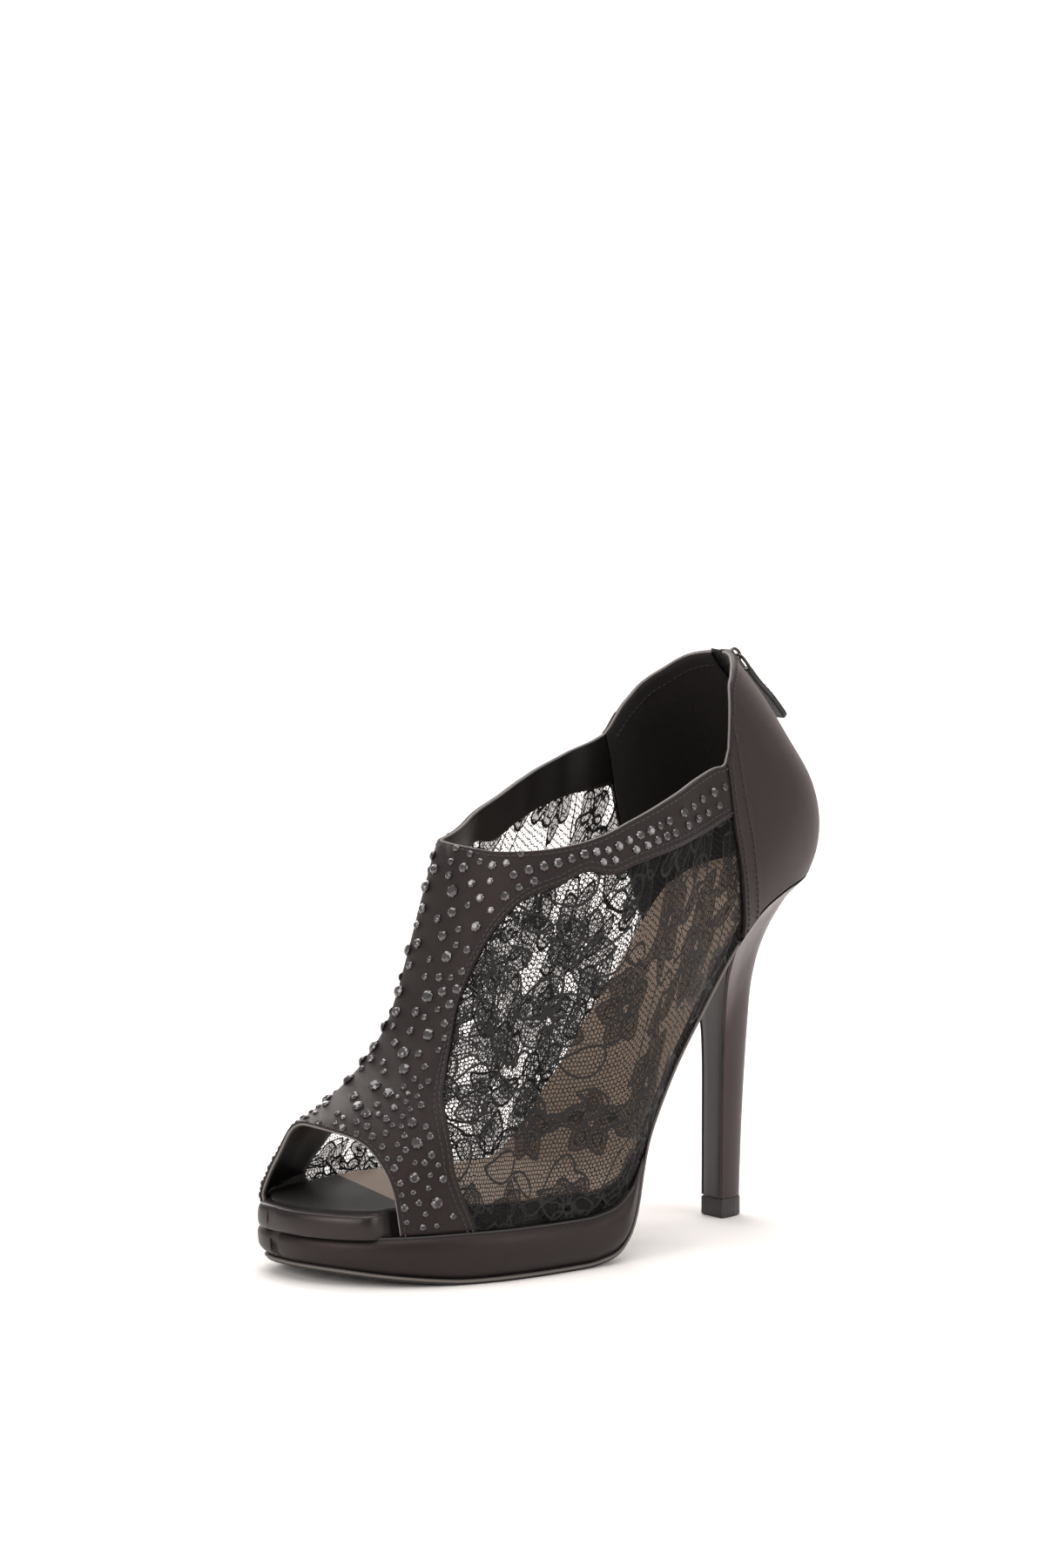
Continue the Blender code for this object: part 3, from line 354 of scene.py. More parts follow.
# The T-strap and collar band. Path runs from the sole edge at the toe opening (0) along the
# opening, back up the ridge to the throat and round the topline to the counter (1). The other
# values are the inner edge, which borders the lace, on each side: place along and height up.
TOE_SHARE = 0.22
RIDGE_SHARE = 0.33
STRAP_EDGE_COLUMNS = ("path", "lateral_at", "lateral_up", "medial_at", "medial_up")
STRAP_EDGE = (
    (0.000, 0.800, 0.000, 0.872, 0.000),
    (0.055, 0.818, 0.220, 0.872, 0.220),
    (0.110, 0.827, 0.430, 0.864, 0.430),
    (0.165, 0.826, 0.620, 0.846, 0.620),
    (0.220, 0.818, 0.760, 0.826, 0.760),
    (0.280, 0.804, 0.825, 0.806, 0.825),
    (0.340, 0.791, 0.860, 0.791, 0.860),
    (0.400, 0.777, 0.880, 0.777, 0.880),
    (0.450, 0.764, 0.885, 0.764, 0.885),
    (0.500, 0.745, 0.868, 0.745, 0.868),
    (0.550, 0.720, 0.830, 0.720, 0.830),
    (0.600, 0.672, 0.760, 0.672, 0.760),
    (0.650, 0.610, 0.675, 0.610, 0.700),
    (0.700, 0.545, 0.622, 0.545, 0.650),
    (0.750, 0.488, 0.581, 0.488, 0.626),
    (0.800, 0.431, 0.509, 0.431, 0.570),
    (0.900, 0.325, 0.390, 0.330, 0.460),
    (1.000, 0.2445, 0.305, 0.2625, 0.375),
)

# The platform's side from its top edge (1) down to the tread (0), and how far it swells out
# as a share of SIDE_SWELL.
PLATFORM_SIDE = (
    (1.00, 0.25),
    (0.88, 0.80),
    (0.50, 1.00),
    (0.14, 0.35),
    (0.00, -0.45),
)

# The heel from its tip (0) to the seat (1). Back and front are measured from the tip's middle in
# tip lengths, half is in tip widths, and spread is how far the section has opened to the seat.
HEEL_COLUMNS = ("level", "back", "front", "half", "spread")
HEEL = (
    (0.00, -0.495, 0.505, 0.490, 0.00),
    (0.25, -0.600, 0.495, 0.510, 0.00),
    (0.55, -0.830, 0.486, 0.550, 0.00),
    (0.70, -0.970, 0.540, 0.640, 0.03),
    (0.79, -1.090, 0.635, 0.760, 0.12),
    (0.88, -1.250, 0.760, 0.920, 0.33),
    (0.95, -1.400, 0.860, 1.060, 0.62),
    (1.00, -1.510, 0.916, 1.150, 1.00),
)
HEEL_ROUND = 0.85
HEEL_INSET = 0.0006
BREAST_COVER_FOOT = 0.004
BREAST_COVER_TOP = 0.970

print(len(SECTIONS), "sections,", len(COLLAR), "topline rows")

# %% [markdown]
# ## The skin function
#
# wall() gives a point on the shoe's skin: a station from heel to toe, a side, a height from the
# sole's edge to the ridge, and a depth under the surface for each layer.

# %% Curves and the skin
def smooth(names, rows, name, at, key):
    """The value of a named column where the key column is at, along a curve with no overshoot."""
    k = names.index(key)
    c = names.index(name)
    xs = [row[k] for row in rows]
    ys = [row[c] for row in rows]
    return smooth_value(xs, ys, at)


def smooth_value(xs, ys, at):
    if at <= xs[0]:
        return ys[0]
    if at >= xs[-1]:
        return ys[-1]
    i = max(j for j in range(len(xs) - 1) if xs[j] <= at)
    step = xs[i + 1] - xs[i]
    u = (at - xs[i]) / step
    start = knot_slope(xs, ys, i) * step
    end = knot_slope(xs, ys, i + 1) * step
    return ((2 * u ** 3 - 3 * u * u + 1) * ys[i] + (u ** 3 - 2 * u * u + u) * start
            + (3 * u * u - 2 * u ** 3) * ys[i + 1] + (u ** 3 - u * u) * end)


def knot_slope(xs, ys, i):
    if i == 0:
        return (ys[1] - ys[0]) / (xs[1] - xs[0])
    if i == len(xs) - 1:
        return (ys[-1] - ys[-2]) / (xs[-1] - xs[-2])
    before = (ys[i] - ys[i - 1]) / (xs[i] - xs[i - 1])
    after = (ys[i + 1] - ys[i]) / (xs[i + 1] - xs[i])
    if before * after <= 0:
        return 0.0
    back = xs[i] - xs[i - 1]
    ahead = xs[i + 1] - xs[i]
    return (before * ahead + after * back) / (back + ahead)


def station(share):
    """Stations run 0 to 1 like shares of the length, but crowd together at the heel and the toe."""
    return math.acos(max(-1.0, min(1.0, 1 - 2 * share))) / math.pi


def share(t):
    return (1 - math.cos(math.pi * t)) / 2


SECTION_STATIONS = [station(row[0]) for row in SECTIONS]
SECTION_VALUES = {name: [row[i] for row in SECTIONS] for i, name in enumerate(SECTION_COLUMNS)}


@functools.lru_cache(maxsize=None)
def section(name, t):
    return smooth_value(SECTION_STATIONS, SECTION_VALUES[name], t)


def at_share(name, forward):
    return section(name, station(forward / LAST_LENGTH))


def bed(forward):
    """Height of the sole's edge, where the upper meets the platform, forward of the heel's back."""
    return PLATFORM_HEIGHT + (SEAT_HEIGHT - PLATFORM_HEIGHT) * at_share("rise", forward)


def joint_line(forward):
    """Height of the outsole's upper face: the platform's underside, then the bed itself."""
    return bed(forward) - (PLATFORM_HEIGHT - OUTSOLE) * at_share("wedge", forward)


def steepness(line, forward):
    """How much taller than its own thickness a sheet along the line stands."""
    reach = 0.002
    lo = max(0.0, forward - reach)
    hi = min(LAST_LENGTH, forward + reach)
    slope = (line(hi) - line(lo)) / (hi - lo)
    return math.sqrt(1 + slope * slope)


def to_world(x, forward, z):
    return Vector((x, BALL_AT * LAST_LENGTH - forward, z))


def half_width(t, side):
    return BALL_WIDTH * section("lateral" if side > 0 else "medial", t)


def plan_normal(t, side):
    """Outward direction of the sole's outline, as x and forward."""
    reach = 0.002
    lo = max(0.0, t - reach)
    hi = min(1.0, t + reach)
    dx = side * (half_width(hi, side) - half_width(lo, side))
    df = (share(hi) - share(lo)) * LAST_LENGTH
    size = math.hypot(dx, df)
    return side * df / size, -side * dx / size


def edge(t, side, out=0.0, line=bed, lift=0.0):
    """A point beside the sole's outline, moved out by out and lifted off a height line."""
    nx, nf = plan_normal(t, side)
    x = side * half_width(t, side) + nx * out
    forward = share(t) * LAST_LENGTH + nf * out
    return to_world(x, forward, line(forward) + lift * steepness(line, forward))


def back_value(name, height):
    return smooth(BACK_COLUMNS, BACK, name, height / INSTEP_HEIGHT, "height")


def wall_raw(t, side, up):
    """The shoe's outer skin at a station, from the sole's edge (up 0) to the ridge or crown (1)."""
    tall = INSTEP_HEIGHT * section("crown", t)
    foot = half_width(t, side)
    widest = foot + BALL_WIDTH * section("swell", t) * min(1.0, BELLY_START * t)
    full = section("lateral_full" if side > 0 else "medial_full", t)
    belly = min(BELLY_LIMIT * full, BELLY_AT * INSTEP_HEIGHT / tall)
    if up < belly:
        x = foot + (widest - foot) * math.sin(math.pi / 2 * up / belly)
    else:
        w = min(1.0, (up - belly) / (1 - belly))
        full += (RIDGE_ROUNDNESS - full) * w ** RIDGE_ROUNDING if full < RIDGE_ROUNDNESS else 0.0
        x = widest * (1 - w ** full) ** (1 / full)
    lean_weight = math.cos(math.pi / 2 * min(1.0, share(t) / LEAN_REACH)) ** 2
    forward = share(t) * LAST_LENGTH
    height = up * tall
    lean = 0.0
    if share(t) < LEAN_REACH:
        x *= 1 - (1 - back_value("keep", height)) * lean_weight
        lean = INSTEP_HEIGHT * back_value("lean", height) * lean_weight
    x = side * x + BALL_WIDTH * section("ridge", t) * up
    z = bed(forward) + height
    forward += lean
    return to_world(x, forward, z)


def wall_around(t, side, up):
    """wall_raw, carried over the ridge to the other side and round the heel's back."""
    if up > 1:
        side = -side
        up = 2 - up
    if t < 0:
        side = -side
        t = -t
    return wall_raw(t, side, up)


def wall(t, side, up, depth=0.0):
    """A point of the skin, or of a layer lying depth below it."""
    point = wall_raw(t, side, up)
    if depth == 0:
        return point
    if up <= 0:
        return edge(t, side, -depth, bed, 0.0)
    reach = 0.012
    along = wall_around(min(1.0, t + reach), side, up) - wall_around(t - reach, side, up)
    upward = wall_around(t, side, up + reach) - wall_around(t, side, max(0.0, up - reach))
    normal = along.cross(upward).normalized() * -side
    return point - normal * depth


def collar_height(forward, side):
    name = "lateral" if side > 0 else "medial"
    rise = smooth(COLLAR_COLUMNS, COLLAR, name, forward / LAST_LENGTH, "at")
    return THROAT_HEIGHT + (BACK_HEIGHT - THROAT_HEIGHT) * rise


def collar_up(t, side):
    """How far up the wall the topline cuts a station."""
    lo = 0.0
    hi = 1.0
    top = wall_raw(t, side, 1.0)
    if top.z <= THROAT_HEIGHT and t > station(LEAN_REACH):
        return 1.0
    for _ in range(30):
        mid = (lo + hi) / 2
        point = wall_raw(t, side, mid)
        if point.z < collar_height(BALL_AT * LAST_LENGTH - point.y, side):
            lo = mid
        else:
            hi = mid
    return (lo + hi) / 2


def find_throat():
    """The station where the ridge comes up to the throat's height."""
    lo = station(LEAN_REACH)
    hi = 1.0
    for _ in range(40):
        mid = (lo + hi) / 2
        if wall_raw(mid, 1, 1.0).z > THROAT_HEIGHT:
            lo = mid
        else:
            hi = mid
    return hi


THROAT = find_throat()


def toe_edge(round_toe):
    return station(smooth(TOE_EDGE_COLUMNS, TOE_EDGE, "at", round_toe, "round"))


def toe_station(t, side, up):
    """Shifts the stations ahead of the ball so that the last one lies along the toe opening."""
    start = station(TOE_BLEND_AT)
    if t <= start:
        return t
    end = toe_edge(up if side > 0 else 2 - up)
    return start + (t - start) / (1 - start) * (end - start)


print("throat at station", round(THROAT, 3))

# %% Places on the skin
def ramp(value, start, end):
    x = max(0.0, min(1.0, (value - start) / (end - start)))
    return x * x * (3 - 2 * x)


def off_bed(point):
    """Lifts a point of the skin clear of the platform and the heel that it stands on."""
    forward = BALL_AT * LAST_LENGTH - point.y
    return point + Vector((0.0, 0.0, LAYER_GAP * steepness(bed, forward)))


def strap_value(name, path):
    return smooth(STRAP_EDGE_COLUMNS, STRAP_EDGE, name, path, "path")


def strap_outer_edge(path, side):
    """Station and height of the T-strap's free edge: toe opening, ridge, then topline."""
    if path <= TOE_SHARE:
        up = path / TOE_SHARE
        return toe_edge(up if side > 0 else 2 - up), up
    ridge_start = toe_edge(1.0)
    if path <= TOE_SHARE + RIDGE_SHARE:
        return ridge_start + (THROAT - ridge_start) * (path - TOE_SHARE) / RIDGE_SHARE, 1.0
    rest = (path - TOE_SHARE - RIDGE_SHARE) / (1 - TOE_SHARE - RIDGE_SHARE)
    corner = COUNTER_CORNER[side] + 2 * GAP / LAST_LENGTH
    t = station(share(THROAT) + (corner - share(THROAT)) * rest)
    return t, topline_up(t, side)


def station_at_width(width, side, up):
    """The station behind which the skin is narrower than width on this side."""
    lo = 0.0
    hi = station(0.2)
    for _ in range(30):
        mid = (lo + hi) / 2
        if abs(wall_raw(mid, side, up).x) < width:
            lo = mid
        else:
            hi = mid
    return (lo + hi) / 2


def insole_thickness(forward):
    fore = ramp(forward / LAST_LENGTH, INSOLE_THIN_AT, INSOLE_THICK_AT)
    return INSOLE_REAR + (INSOLE_FORE - INSOLE_REAR) * fore


def inner_wall(t, side, lift, inset):
    """A point inside the upper's wall, at a height over the bed."""
    return wall(t, side, lift / (INSTEP_HEIGHT * section("crown", t)), inset)


def insole_side(t, side, lift, inset, back=0.0):
    """The insole's side at a height: inside the upper's wall, then out as a rim in the toe opening."""
    open_toe = ramp(share(t), RIM_START_AT[side], RIM_FULL_AT[side])
    point = inner_wall(t, side, lift, inset).lerp(edge(t, side, RIM - back), open_toe)
    forward = BALL_AT * LAST_LENGTH - point.y
    point.z = bed(forward) + lift * steepness(bed, forward)
    return point

# %% [markdown]
# ## Look-up lines
#
# The topline and the zip's edge are found by halving, which is slow to repeat for every point.
# They are sampled once here and read back in between.

# %% Sampled topline and zip edge
TOPLINE_STATIONS = [THROAT * k / 900 for k in range(901)]
TOPLINE_UPS = {side: [collar_up(t, side) for t in TOPLINE_STATIONS] for side in (1, -1)}
BACK_UPS = [k / 90 for k in range(91)]
BACK_EDGE = {side: [station_at_width(ZIP_WIDTH / 2 + GAP, side, up) for up in BACK_UPS]
             for side in (1, -1)}


def topline_up(t, side):
    return float(np.interp(t, TOPLINE_STATIONS, TOPLINE_UPS[side]))


def counter_back(up, side):
    return float(np.interp(up, BACK_UPS, BACK_EDGE[side]))


def wall_top(t, side):
    return topline_up(t, side) if t < THROAT else 1.0


print("topline sampled at", len(TOPLINE_STATIONS), "stations")

# %% Places on the heel and at the slider
def heel_value(name, level):
    return smooth(HEEL_COLUMNS, HEEL, name, level, "level")


def heel_point(level, spoke, out=0.0):
    """Spoke 0 is the heel's back, -1 and 1 its breast edges on the inner and outer side."""
    side = 1 if spoke >= 0 else -1
    turn = abs(spoke) * math.pi / 2
    middle = HEEL_TIP_AT * LAST_LENGTH
    back = middle + TIP_LENGTH * heel_value("back", level) - out
    front = middle + TIP_LENGTH * heel_value("front", level) + out
    half = TIP_WIDTH * heel_value("half", level) + out
    stem_x = side * half * math.sin(turn) ** HEEL_ROUND
    stem_forward = front - (front - back) * max(0.0, math.cos(turn)) ** HEEL_ROUND
    seat = edge(abs(spoke) * station(SEAT_FRONT_AT), side, -HEEL_INSET, bed, -GAP)
    spread = heel_value("spread", level)
    stem = to_world(stem_x, stem_forward, 0.0)
    point = stem.lerp(seat, spread)
    point.z = TOP_PIECE + (seat.z - TOP_PIECE) * level
    return point


def breast_point(level, across, out):
    """A point before the heel's breast: across runs -1 to 1, out is its distance off the face."""
    def raw(lv):
        inner = heel_point(lv, -1)
        outer = heel_point(lv, 1)
        return inner.lerp(outer, (across + 1) / 2)

    reach = 0.01
    rise = raw(min(1.0, level + reach)) - raw(max(0.0, level - reach))
    width = heel_point(level, 1) - heel_point(level, -1)
    normal = rise.cross(width).normalized()
    if normal.y > 0:
        normal = -normal
    return raw(level) + normal * out


def slider_frame():
    """Axes at the slider: across, out from the back and up along it, about the pull's hinge."""
    reach = 0.01
    up = collar_up(0.0, 1) - SLIDER_DROP / (INSTEP_HEIGHT * section("crown", 0.0))
    base = wall_raw(0.0, 1, up)
    along = (wall_raw(0.0, 1, up + reach) - wall_raw(0.0, 1, up - reach)).normalized()
    across = Vector((1.0, 0.0, 0.0))
    outward = along.cross(across).normalized()
    if outward.y < 0:
        outward = -outward
    base = off_bed(base) + outward * GAP
    return base, across, outward, along


def pull_frame():
    """Axes at the hinge bar: across, out from the tab's face, and along the tab toward the bar."""
    base, across, outward, along = slider_frame()
    pivot = base + outward * (SLIDER_THICK + BRIDGE_OPENING / 2)
    down = Vector((0.0, math.cos(PULL_DROP), -math.sin(PULL_DROP)))
    face = across.cross(down).normalized()
    if face.z < 0:
        face = -face
    return pivot, across, face, -down


print("pull turns about", [round(c, 4) for c in pull_frame()[0]])

# %% [markdown]
# ## Pieces cut from the skin
#
# A piece of leather or satin is a patch of the skin at some depth, with a thickness. A patch is
# a grid whose rows follow the piece's own edges, so its fabric runs along it. The grid also
# carries a UV map in metres: how far along and how far up each point lies.

# %% Patch helpers
def link_mesh(name, mesh, material, smooth_angle=40.0):
    """Puts a mesh into the scene as an object, shaded smooth up to an angle."""
    mesh.materials.append(material)
    mesh.shade_smooth()
    mesh.set_sharp_from_angle(angle=math.radians(smooth_angle))
    obj = bpy.data.objects.new(name, mesh)
    show(obj)
    return obj


def arc_lengths(grid):
    """Distance along and up a grid of points, in metres."""
    pts = np.array([[tuple(p) for p in row] for row in grid])
    along = np.zeros(pts.shape[:2])
    up = np.zeros(pts.shape[:2])
    steps_along = np.linalg.norm(pts[1:] - pts[:-1], axis=2).mean(axis=1)
    along[1:] = np.cumsum(steps_along)[:, None]
    up[:, 1:] = np.cumsum(np.linalg.norm(pts[:, 1:] - pts[:, :-1], axis=2), axis=1)
    return along, up


def add_grid(bm, grid, flip=False):
    """Faces through a grid of points, with a UV map of how far along and up each lies."""
    layer = bm.loops.layers.uv.get("UVMap") or bm.loops.layers.uv.new("UVMap")
    along, up = arc_lengths(grid)
    verts = [[bm.verts.new(p) for p in row] for row in grid]
    for i in range(len(grid) - 1):
        for j in range(len(grid[0]) - 1):
            ring = [(i, j), (i + 1, j), (i + 1, j + 1), (i, j + 1)]
            if flip:
                ring.reverse()
            face = bm.faces.new([verts[a][b] for a, b in ring])
            for loop, (a, b) in zip(face.loops, ring):
                loop[layer].uv = (along[a, b], up[a, b])
    return along, up


def grid_mesh(name, grid, flip=False):
    """An open sheet through a grid of points, joined where points fall together."""
    bm = bmesh.new()
    add_grid(bm, grid, flip)
    bmesh.ops.remove_doubles(bm, verts=bm.verts, dist=1e-6)
    return as_mesh(bm, name)


def thicken(obj, thickness, bevel=0.0):
    """A wall under the sheet, with softened cut edges."""
    wall_mod = obj.modifiers.new("wall", "SOLIDIFY")
    wall_mod.thickness = thickness
    wall_mod.offset = -1.0
    wall_mod.use_even_offset = False
    if bevel:
        edge_mod = obj.modifiers.new("soft_edge", "BEVEL")
        edge_mod.width = bevel
        edge_mod.segments = 2
        edge_mod.limit_method = "ANGLE"
        edge_mod.angle_limit = math.radians(50)


def finish_piece(obj, body, nodes=()):
    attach(obj, body)
    if nodes:
        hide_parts(*nodes)
    print(obj.name, len(obj.data.polygons), "faces")
    return obj


# %% [markdown]
# ## Shader groups shared by the finishes
#
# Satin, tape and wrapped edges all need a fine weave, and everything needs a little dust and
# uneven wear. Each effect is one node group with named inputs, used with its own values.

# %% Node group helpers
def new_group(name, inputs, outputs):
    group = bpy.data.node_groups.new(name, "ShaderNodeTree")
    for label, kind, value in inputs:
        socket = group.interface.new_socket(label, in_out="INPUT", socket_type=kind)
        if value is not None:
            socket.default_value = value
    for label, kind in outputs:
        group.interface.new_socket(label, in_out="OUTPUT", socket_type=kind)
    entry = group.nodes.new("NodeGroupInput")
    leave = group.nodes.new("NodeGroupOutput")
    return group, entry, leave


class Maths:
    """Short names for the math nodes of one tree."""

    def __init__(self, tree):
        self.tree = tree

    def put(self, socket, value):
        if hasattr(value, "links") or isinstance(value, bpy.types.NodeSocket):
            self.tree.links.new(value, socket)
        else:
            socket.default_value = value

    def do(self, operation, a, b=0.0, c=0.0):
        node = self.tree.nodes.new("ShaderNodeMath")
        node.operation = operation
        for socket, value in zip(node.inputs, (a, b, c)):
            self.put(socket, value)
        return node.outputs[0]

    def vec(self, operation, a, b=None, scale=None):
        node = self.tree.nodes.new("ShaderNodeVectorMath")
        node.operation = operation
        self.put(node.inputs[0], a)
        if b is not None:
            self.put(node.inputs[1], b)
        if scale is not None:
            self.put(node.inputs["Scale"], scale)
        return node.outputs["Value" if operation in ("DOT_PRODUCT", "LENGTH") else "Vector"]

    def step(self, value, low, high):
        """0 below low, 1 above high, smooth between."""
        node = self.tree.nodes.new("ShaderNodeMapRange")
        node.interpolation_type = "SMOOTHSTEP"
        self.put(node.inputs["Value"], value)
        self.put(node.inputs["From Min"], low)
        self.put(node.inputs["From Max"], high)
        return node.outputs["Result"]

    def mix(self, factor, a, b):
        node = self.tree.nodes.new("ShaderNodeMix")
        node.data_type = "RGBA"
        self.put(node.inputs[0], factor)
        self.put(node.inputs[6], a)
        self.put(node.inputs[7], b)
        return node.outputs[2]

    def noise(self, vector, scale, detail=3.0):
        node = self.tree.nodes.new("ShaderNodeTexNoise")
        self.put(node.inputs["Vector"], vector)
        self.put(node.inputs["Scale"], scale)
        self.put(node.inputs["Detail"], detail)
        return node.outputs["Fac"]

    def split(self, vector):
        node = self.tree.nodes.new("ShaderNodeSeparateXYZ")
        self.put(node.inputs[0], vector)
        return node.outputs

    def join(self, x, y, z=0.0):
        node = self.tree.nodes.new("ShaderNodeCombineXYZ")
        for socket, value in zip(node.inputs, (x, y, z)):
            self.put(socket, value)
        return node.outputs[0]


# %% Weave group
def make_weave_group():
    """Diagonal twill: height of the crossing threads from a position in metres."""
    group, entry, leave = new_group("twill", [
        ("Vector", "NodeSocketVector", None), ("Pitch", "NodeSocketFloat", 0.0004)],
        [("Height", "NodeSocketFloat")])
    m = Maths(group)
    x, y, z = m.split(entry.outputs["Vector"])
    pitch = entry.outputs["Pitch"]
    a = m.do("SINE", m.do("DIVIDE", m.do("ADD", x, y), m.do("MULTIPLY", pitch, 0.159)))
    b = m.do("SINE", m.do("DIVIDE", m.do("SUBTRACT", x, m.do("MULTIPLY", y, 0.35)),
                          m.do("MULTIPLY", pitch, 0.08)))
    height = m.do("ADD", m.do("MULTIPLY", a, 0.35), m.do("MULTIPLY", b, 0.15))
    group.links.new(m.do("ADD", height, 0.5), leave.inputs["Height"])
    return group


def make_wear_group():
    """Dust and rubbed places: a slow mask and a fine one from a position in metres."""
    group, entry, leave = new_group("wear", [
        ("Vector", "NodeSocketVector", None), ("Patch Size", "NodeSocketFloat", 0.02)],
        [("Slow", "NodeSocketFloat"), ("Fine", "NodeSocketFloat")])
    m = Maths(group)
    slow = m.noise(entry.outputs["Vector"], m.do("DIVIDE", 1.0, entry.outputs["Patch Size"]), 4.0)
    fine = m.noise(entry.outputs["Vector"], m.do("DIVIDE", 18.0, entry.outputs["Patch Size"]), 2.0)
    group.links.new(slow, leave.inputs["Slow"])
    group.links.new(fine, leave.inputs["Fine"])
    return group


TWILL = make_weave_group()
WEAR = make_wear_group()
print("groups:", TWILL.name, WEAR.name)


# %% [markdown]
# ## Satin, lining, leather, metal and sole finishes
#
# Satin is a dark thread that glints warm where it turns away from the light. The sheen gives
# that glow, the twill breaks up the highlight, and slow wear changes its roughness.

# %% Finish helper
def start_finish(name):
    """A new material with its tree, its shader and the short names of its math nodes."""
    material = bpy.data.materials.new(name)
    material.use_nodes = True
    tree = material.node_tree
    return material, tree, tree.nodes["Principled BSDF"], Maths(tree)


def fabric_finish(name, dark, light, roughness, pitch, bump=0.3, sheen=0.0, sheen_color=(1, 1, 1),
                  coords="UV", patch=0.02, metallic=0.0, coat=0.0, spread=0.12, specular=0.5,
                  tint=(1, 1, 1)):
    """A finish from a dark and a light colour, mixed by weave and wear."""
    material, tree, shader, m = start_finish(name)
    source = tree.nodes.new("ShaderNodeTexCoord").outputs[coords]
    place = tree.nodes.new("ShaderNodeTexCoord").outputs["Object"]
    twill = tree.nodes.new("ShaderNodeGroup")
    twill.node_tree = TWILL
    twill.inputs["Pitch"].default_value = pitch
    tree.links.new(source, twill.inputs["Vector"])
    wear = tree.nodes.new("ShaderNodeGroup")
    wear.node_tree = WEAR
    wear.inputs["Patch Size"].default_value = patch
    tree.links.new(place, wear.inputs["Vector"])
    tone = m.do("ADD", m.do("MULTIPLY", twill.outputs["Height"], 0.45),
                m.do("MULTIPLY", wear.outputs["Slow"], 0.55))
    tree.links.new(m.mix(tone, (*dark, 1), (*light, 1)), shader.inputs["Base Color"])
    rough = m.do("ADD", roughness - spread / 2, m.do("MULTIPLY", wear.outputs["Slow"], spread))
    tree.links.new(m.do("ADD", rough, m.do("MULTIPLY", wear.outputs["Fine"], 0.05)),
                   shader.inputs["Roughness"])
    node = tree.nodes.new("ShaderNodeBump")
    node.inputs["Strength"].default_value = bump
    node.inputs["Distance"].default_value = pitch * 0.35
    height = m.do("ADD", twill.outputs["Height"], m.do("MULTIPLY", wear.outputs["Fine"], 0.5))
    tree.links.new(height, node.inputs["Height"])
    tree.links.new(node.outputs["Normal"], shader.inputs["Normal"])
    shader.inputs["Metallic"].default_value = metallic
    shader.inputs["Sheen Weight"].default_value = sheen
    shader.inputs["Sheen Roughness"].default_value = 0.35
    shader.inputs["Sheen Tint"].default_value = (*sheen_color, 1)
    shader.inputs["Coat Weight"].default_value = coat
    shader.inputs["Coat Roughness"].default_value = 0.25
    shader.inputs["Specular IOR Level"].default_value = specular
    shader.inputs["Specular Tint"].default_value = (*tint, 1)
    return material


satin = fabric_finish("strap_satin", (0.0030, 0.0022, 0.0024), (0.0100, 0.0072, 0.0078), 0.42, 0.00045,
                      bump=0.35, sheen=0.08, sheen_color=(0.55, 0.42, 0.42), specular=0.36,
                      tint=(1, 0.82, 0.80))
counter_satin = fabric_finish("counter_satin", (0.0045, 0.0033, 0.0036), (0.0130, 0.0095, 0.0100), 0.44,
                              0.0004, bump=0.3, sheen=0.16, sheen_color=(0.62, 0.45, 0.45),
                              specular=0.38, tint=(1, 0.80, 0.79))
heel_satin = fabric_finish("heel_satin", (0.0070, 0.0048, 0.0056), (0.0180, 0.0128, 0.0146), 0.34, 0.0004,
                           bump=0.15, sheen=0.16, sheen_color=(0.7, 0.52, 0.56), coords="Object",
                           specular=0.50, tint=(1, 0.78, 0.80))
platform_satin = fabric_finish("platform_satin", (0.0035, 0.0026, 0.0027), (0.0110, 0.0080, 0.0082), 0.42,
                               0.0005, bump=0.4, sheen=0.08, sheen_color=(0.6, 0.46, 0.46), specular=0.36,
                               tint=(1, 0.82, 0.80))
rim_satin = fabric_finish("rim_satin", (0.0035, 0.0027, 0.0029), (0.0105, 0.0082, 0.0086), 0.32, 0.00045,
                          bump=0.35, sheen=0.06, sheen_color=(0.6, 0.5, 0.5), specular=0.45,
                          tint=(1, 0.86, 0.84))
gloss_lining = fabric_finish("gloss_lining", (0.004, 0.0033, 0.0033), (0.010, 0.008, 0.008), 0.32,
                             0.0007, bump=0.15)
fabric_lining = fabric_finish("fabric_lining", (0.007, 0.0055, 0.0055), (0.020, 0.016, 0.0155), 0.75,
                              0.0007, bump=0.5, sheen=0.08, specular=0.3)
beige_lining = fabric_finish("beige_lining", (0.30, 0.215, 0.16), (0.38, 0.285, 0.22), 0.55, 0.0006,
                             bump=0.15, coords="Object")
# Pale grey: a painted highlight for the folded edges round the topline and the toe opening.
painted_edge_highlight = fabric_finish("painted_edge_highlight", (0.12, 0.105, 0.10), (0.24, 0.22, 0.205), 0.6, 0.0005,
                           bump=0.3, coords="Object")
thread_black = fabric_finish("thread_black", (0.008, 0.0065, 0.0065), (0.030, 0.025, 0.025), 0.5,
                             0.00025, bump=0.4, coords="Object", sheen=0.10)
tape_cloth = fabric_finish("tape_cloth", (0.008, 0.008, 0.009), (0.03, 0.03, 0.032), 0.7, 0.0006,
                           bump=0.6)
leather = fabric_finish("tab_leather", (0.005, 0.0045, 0.0045), (0.013, 0.0115, 0.0115), 0.38, 0.0009,
                        bump=0.2, coords="Object", patch=0.004)
gunmetal = fabric_finish("gunmetal", (0.045, 0.041, 0.038), (0.11, 0.10, 0.094), 0.30, 0.0008, bump=0.05,
                         coords="Object", patch=0.004, metallic=1.0)
sole_black = fabric_finish("sole_black", (0.006, 0.005, 0.005), (0.014, 0.012, 0.012), 0.38, 0.0012,
                           bump=0.1, coords="Object")
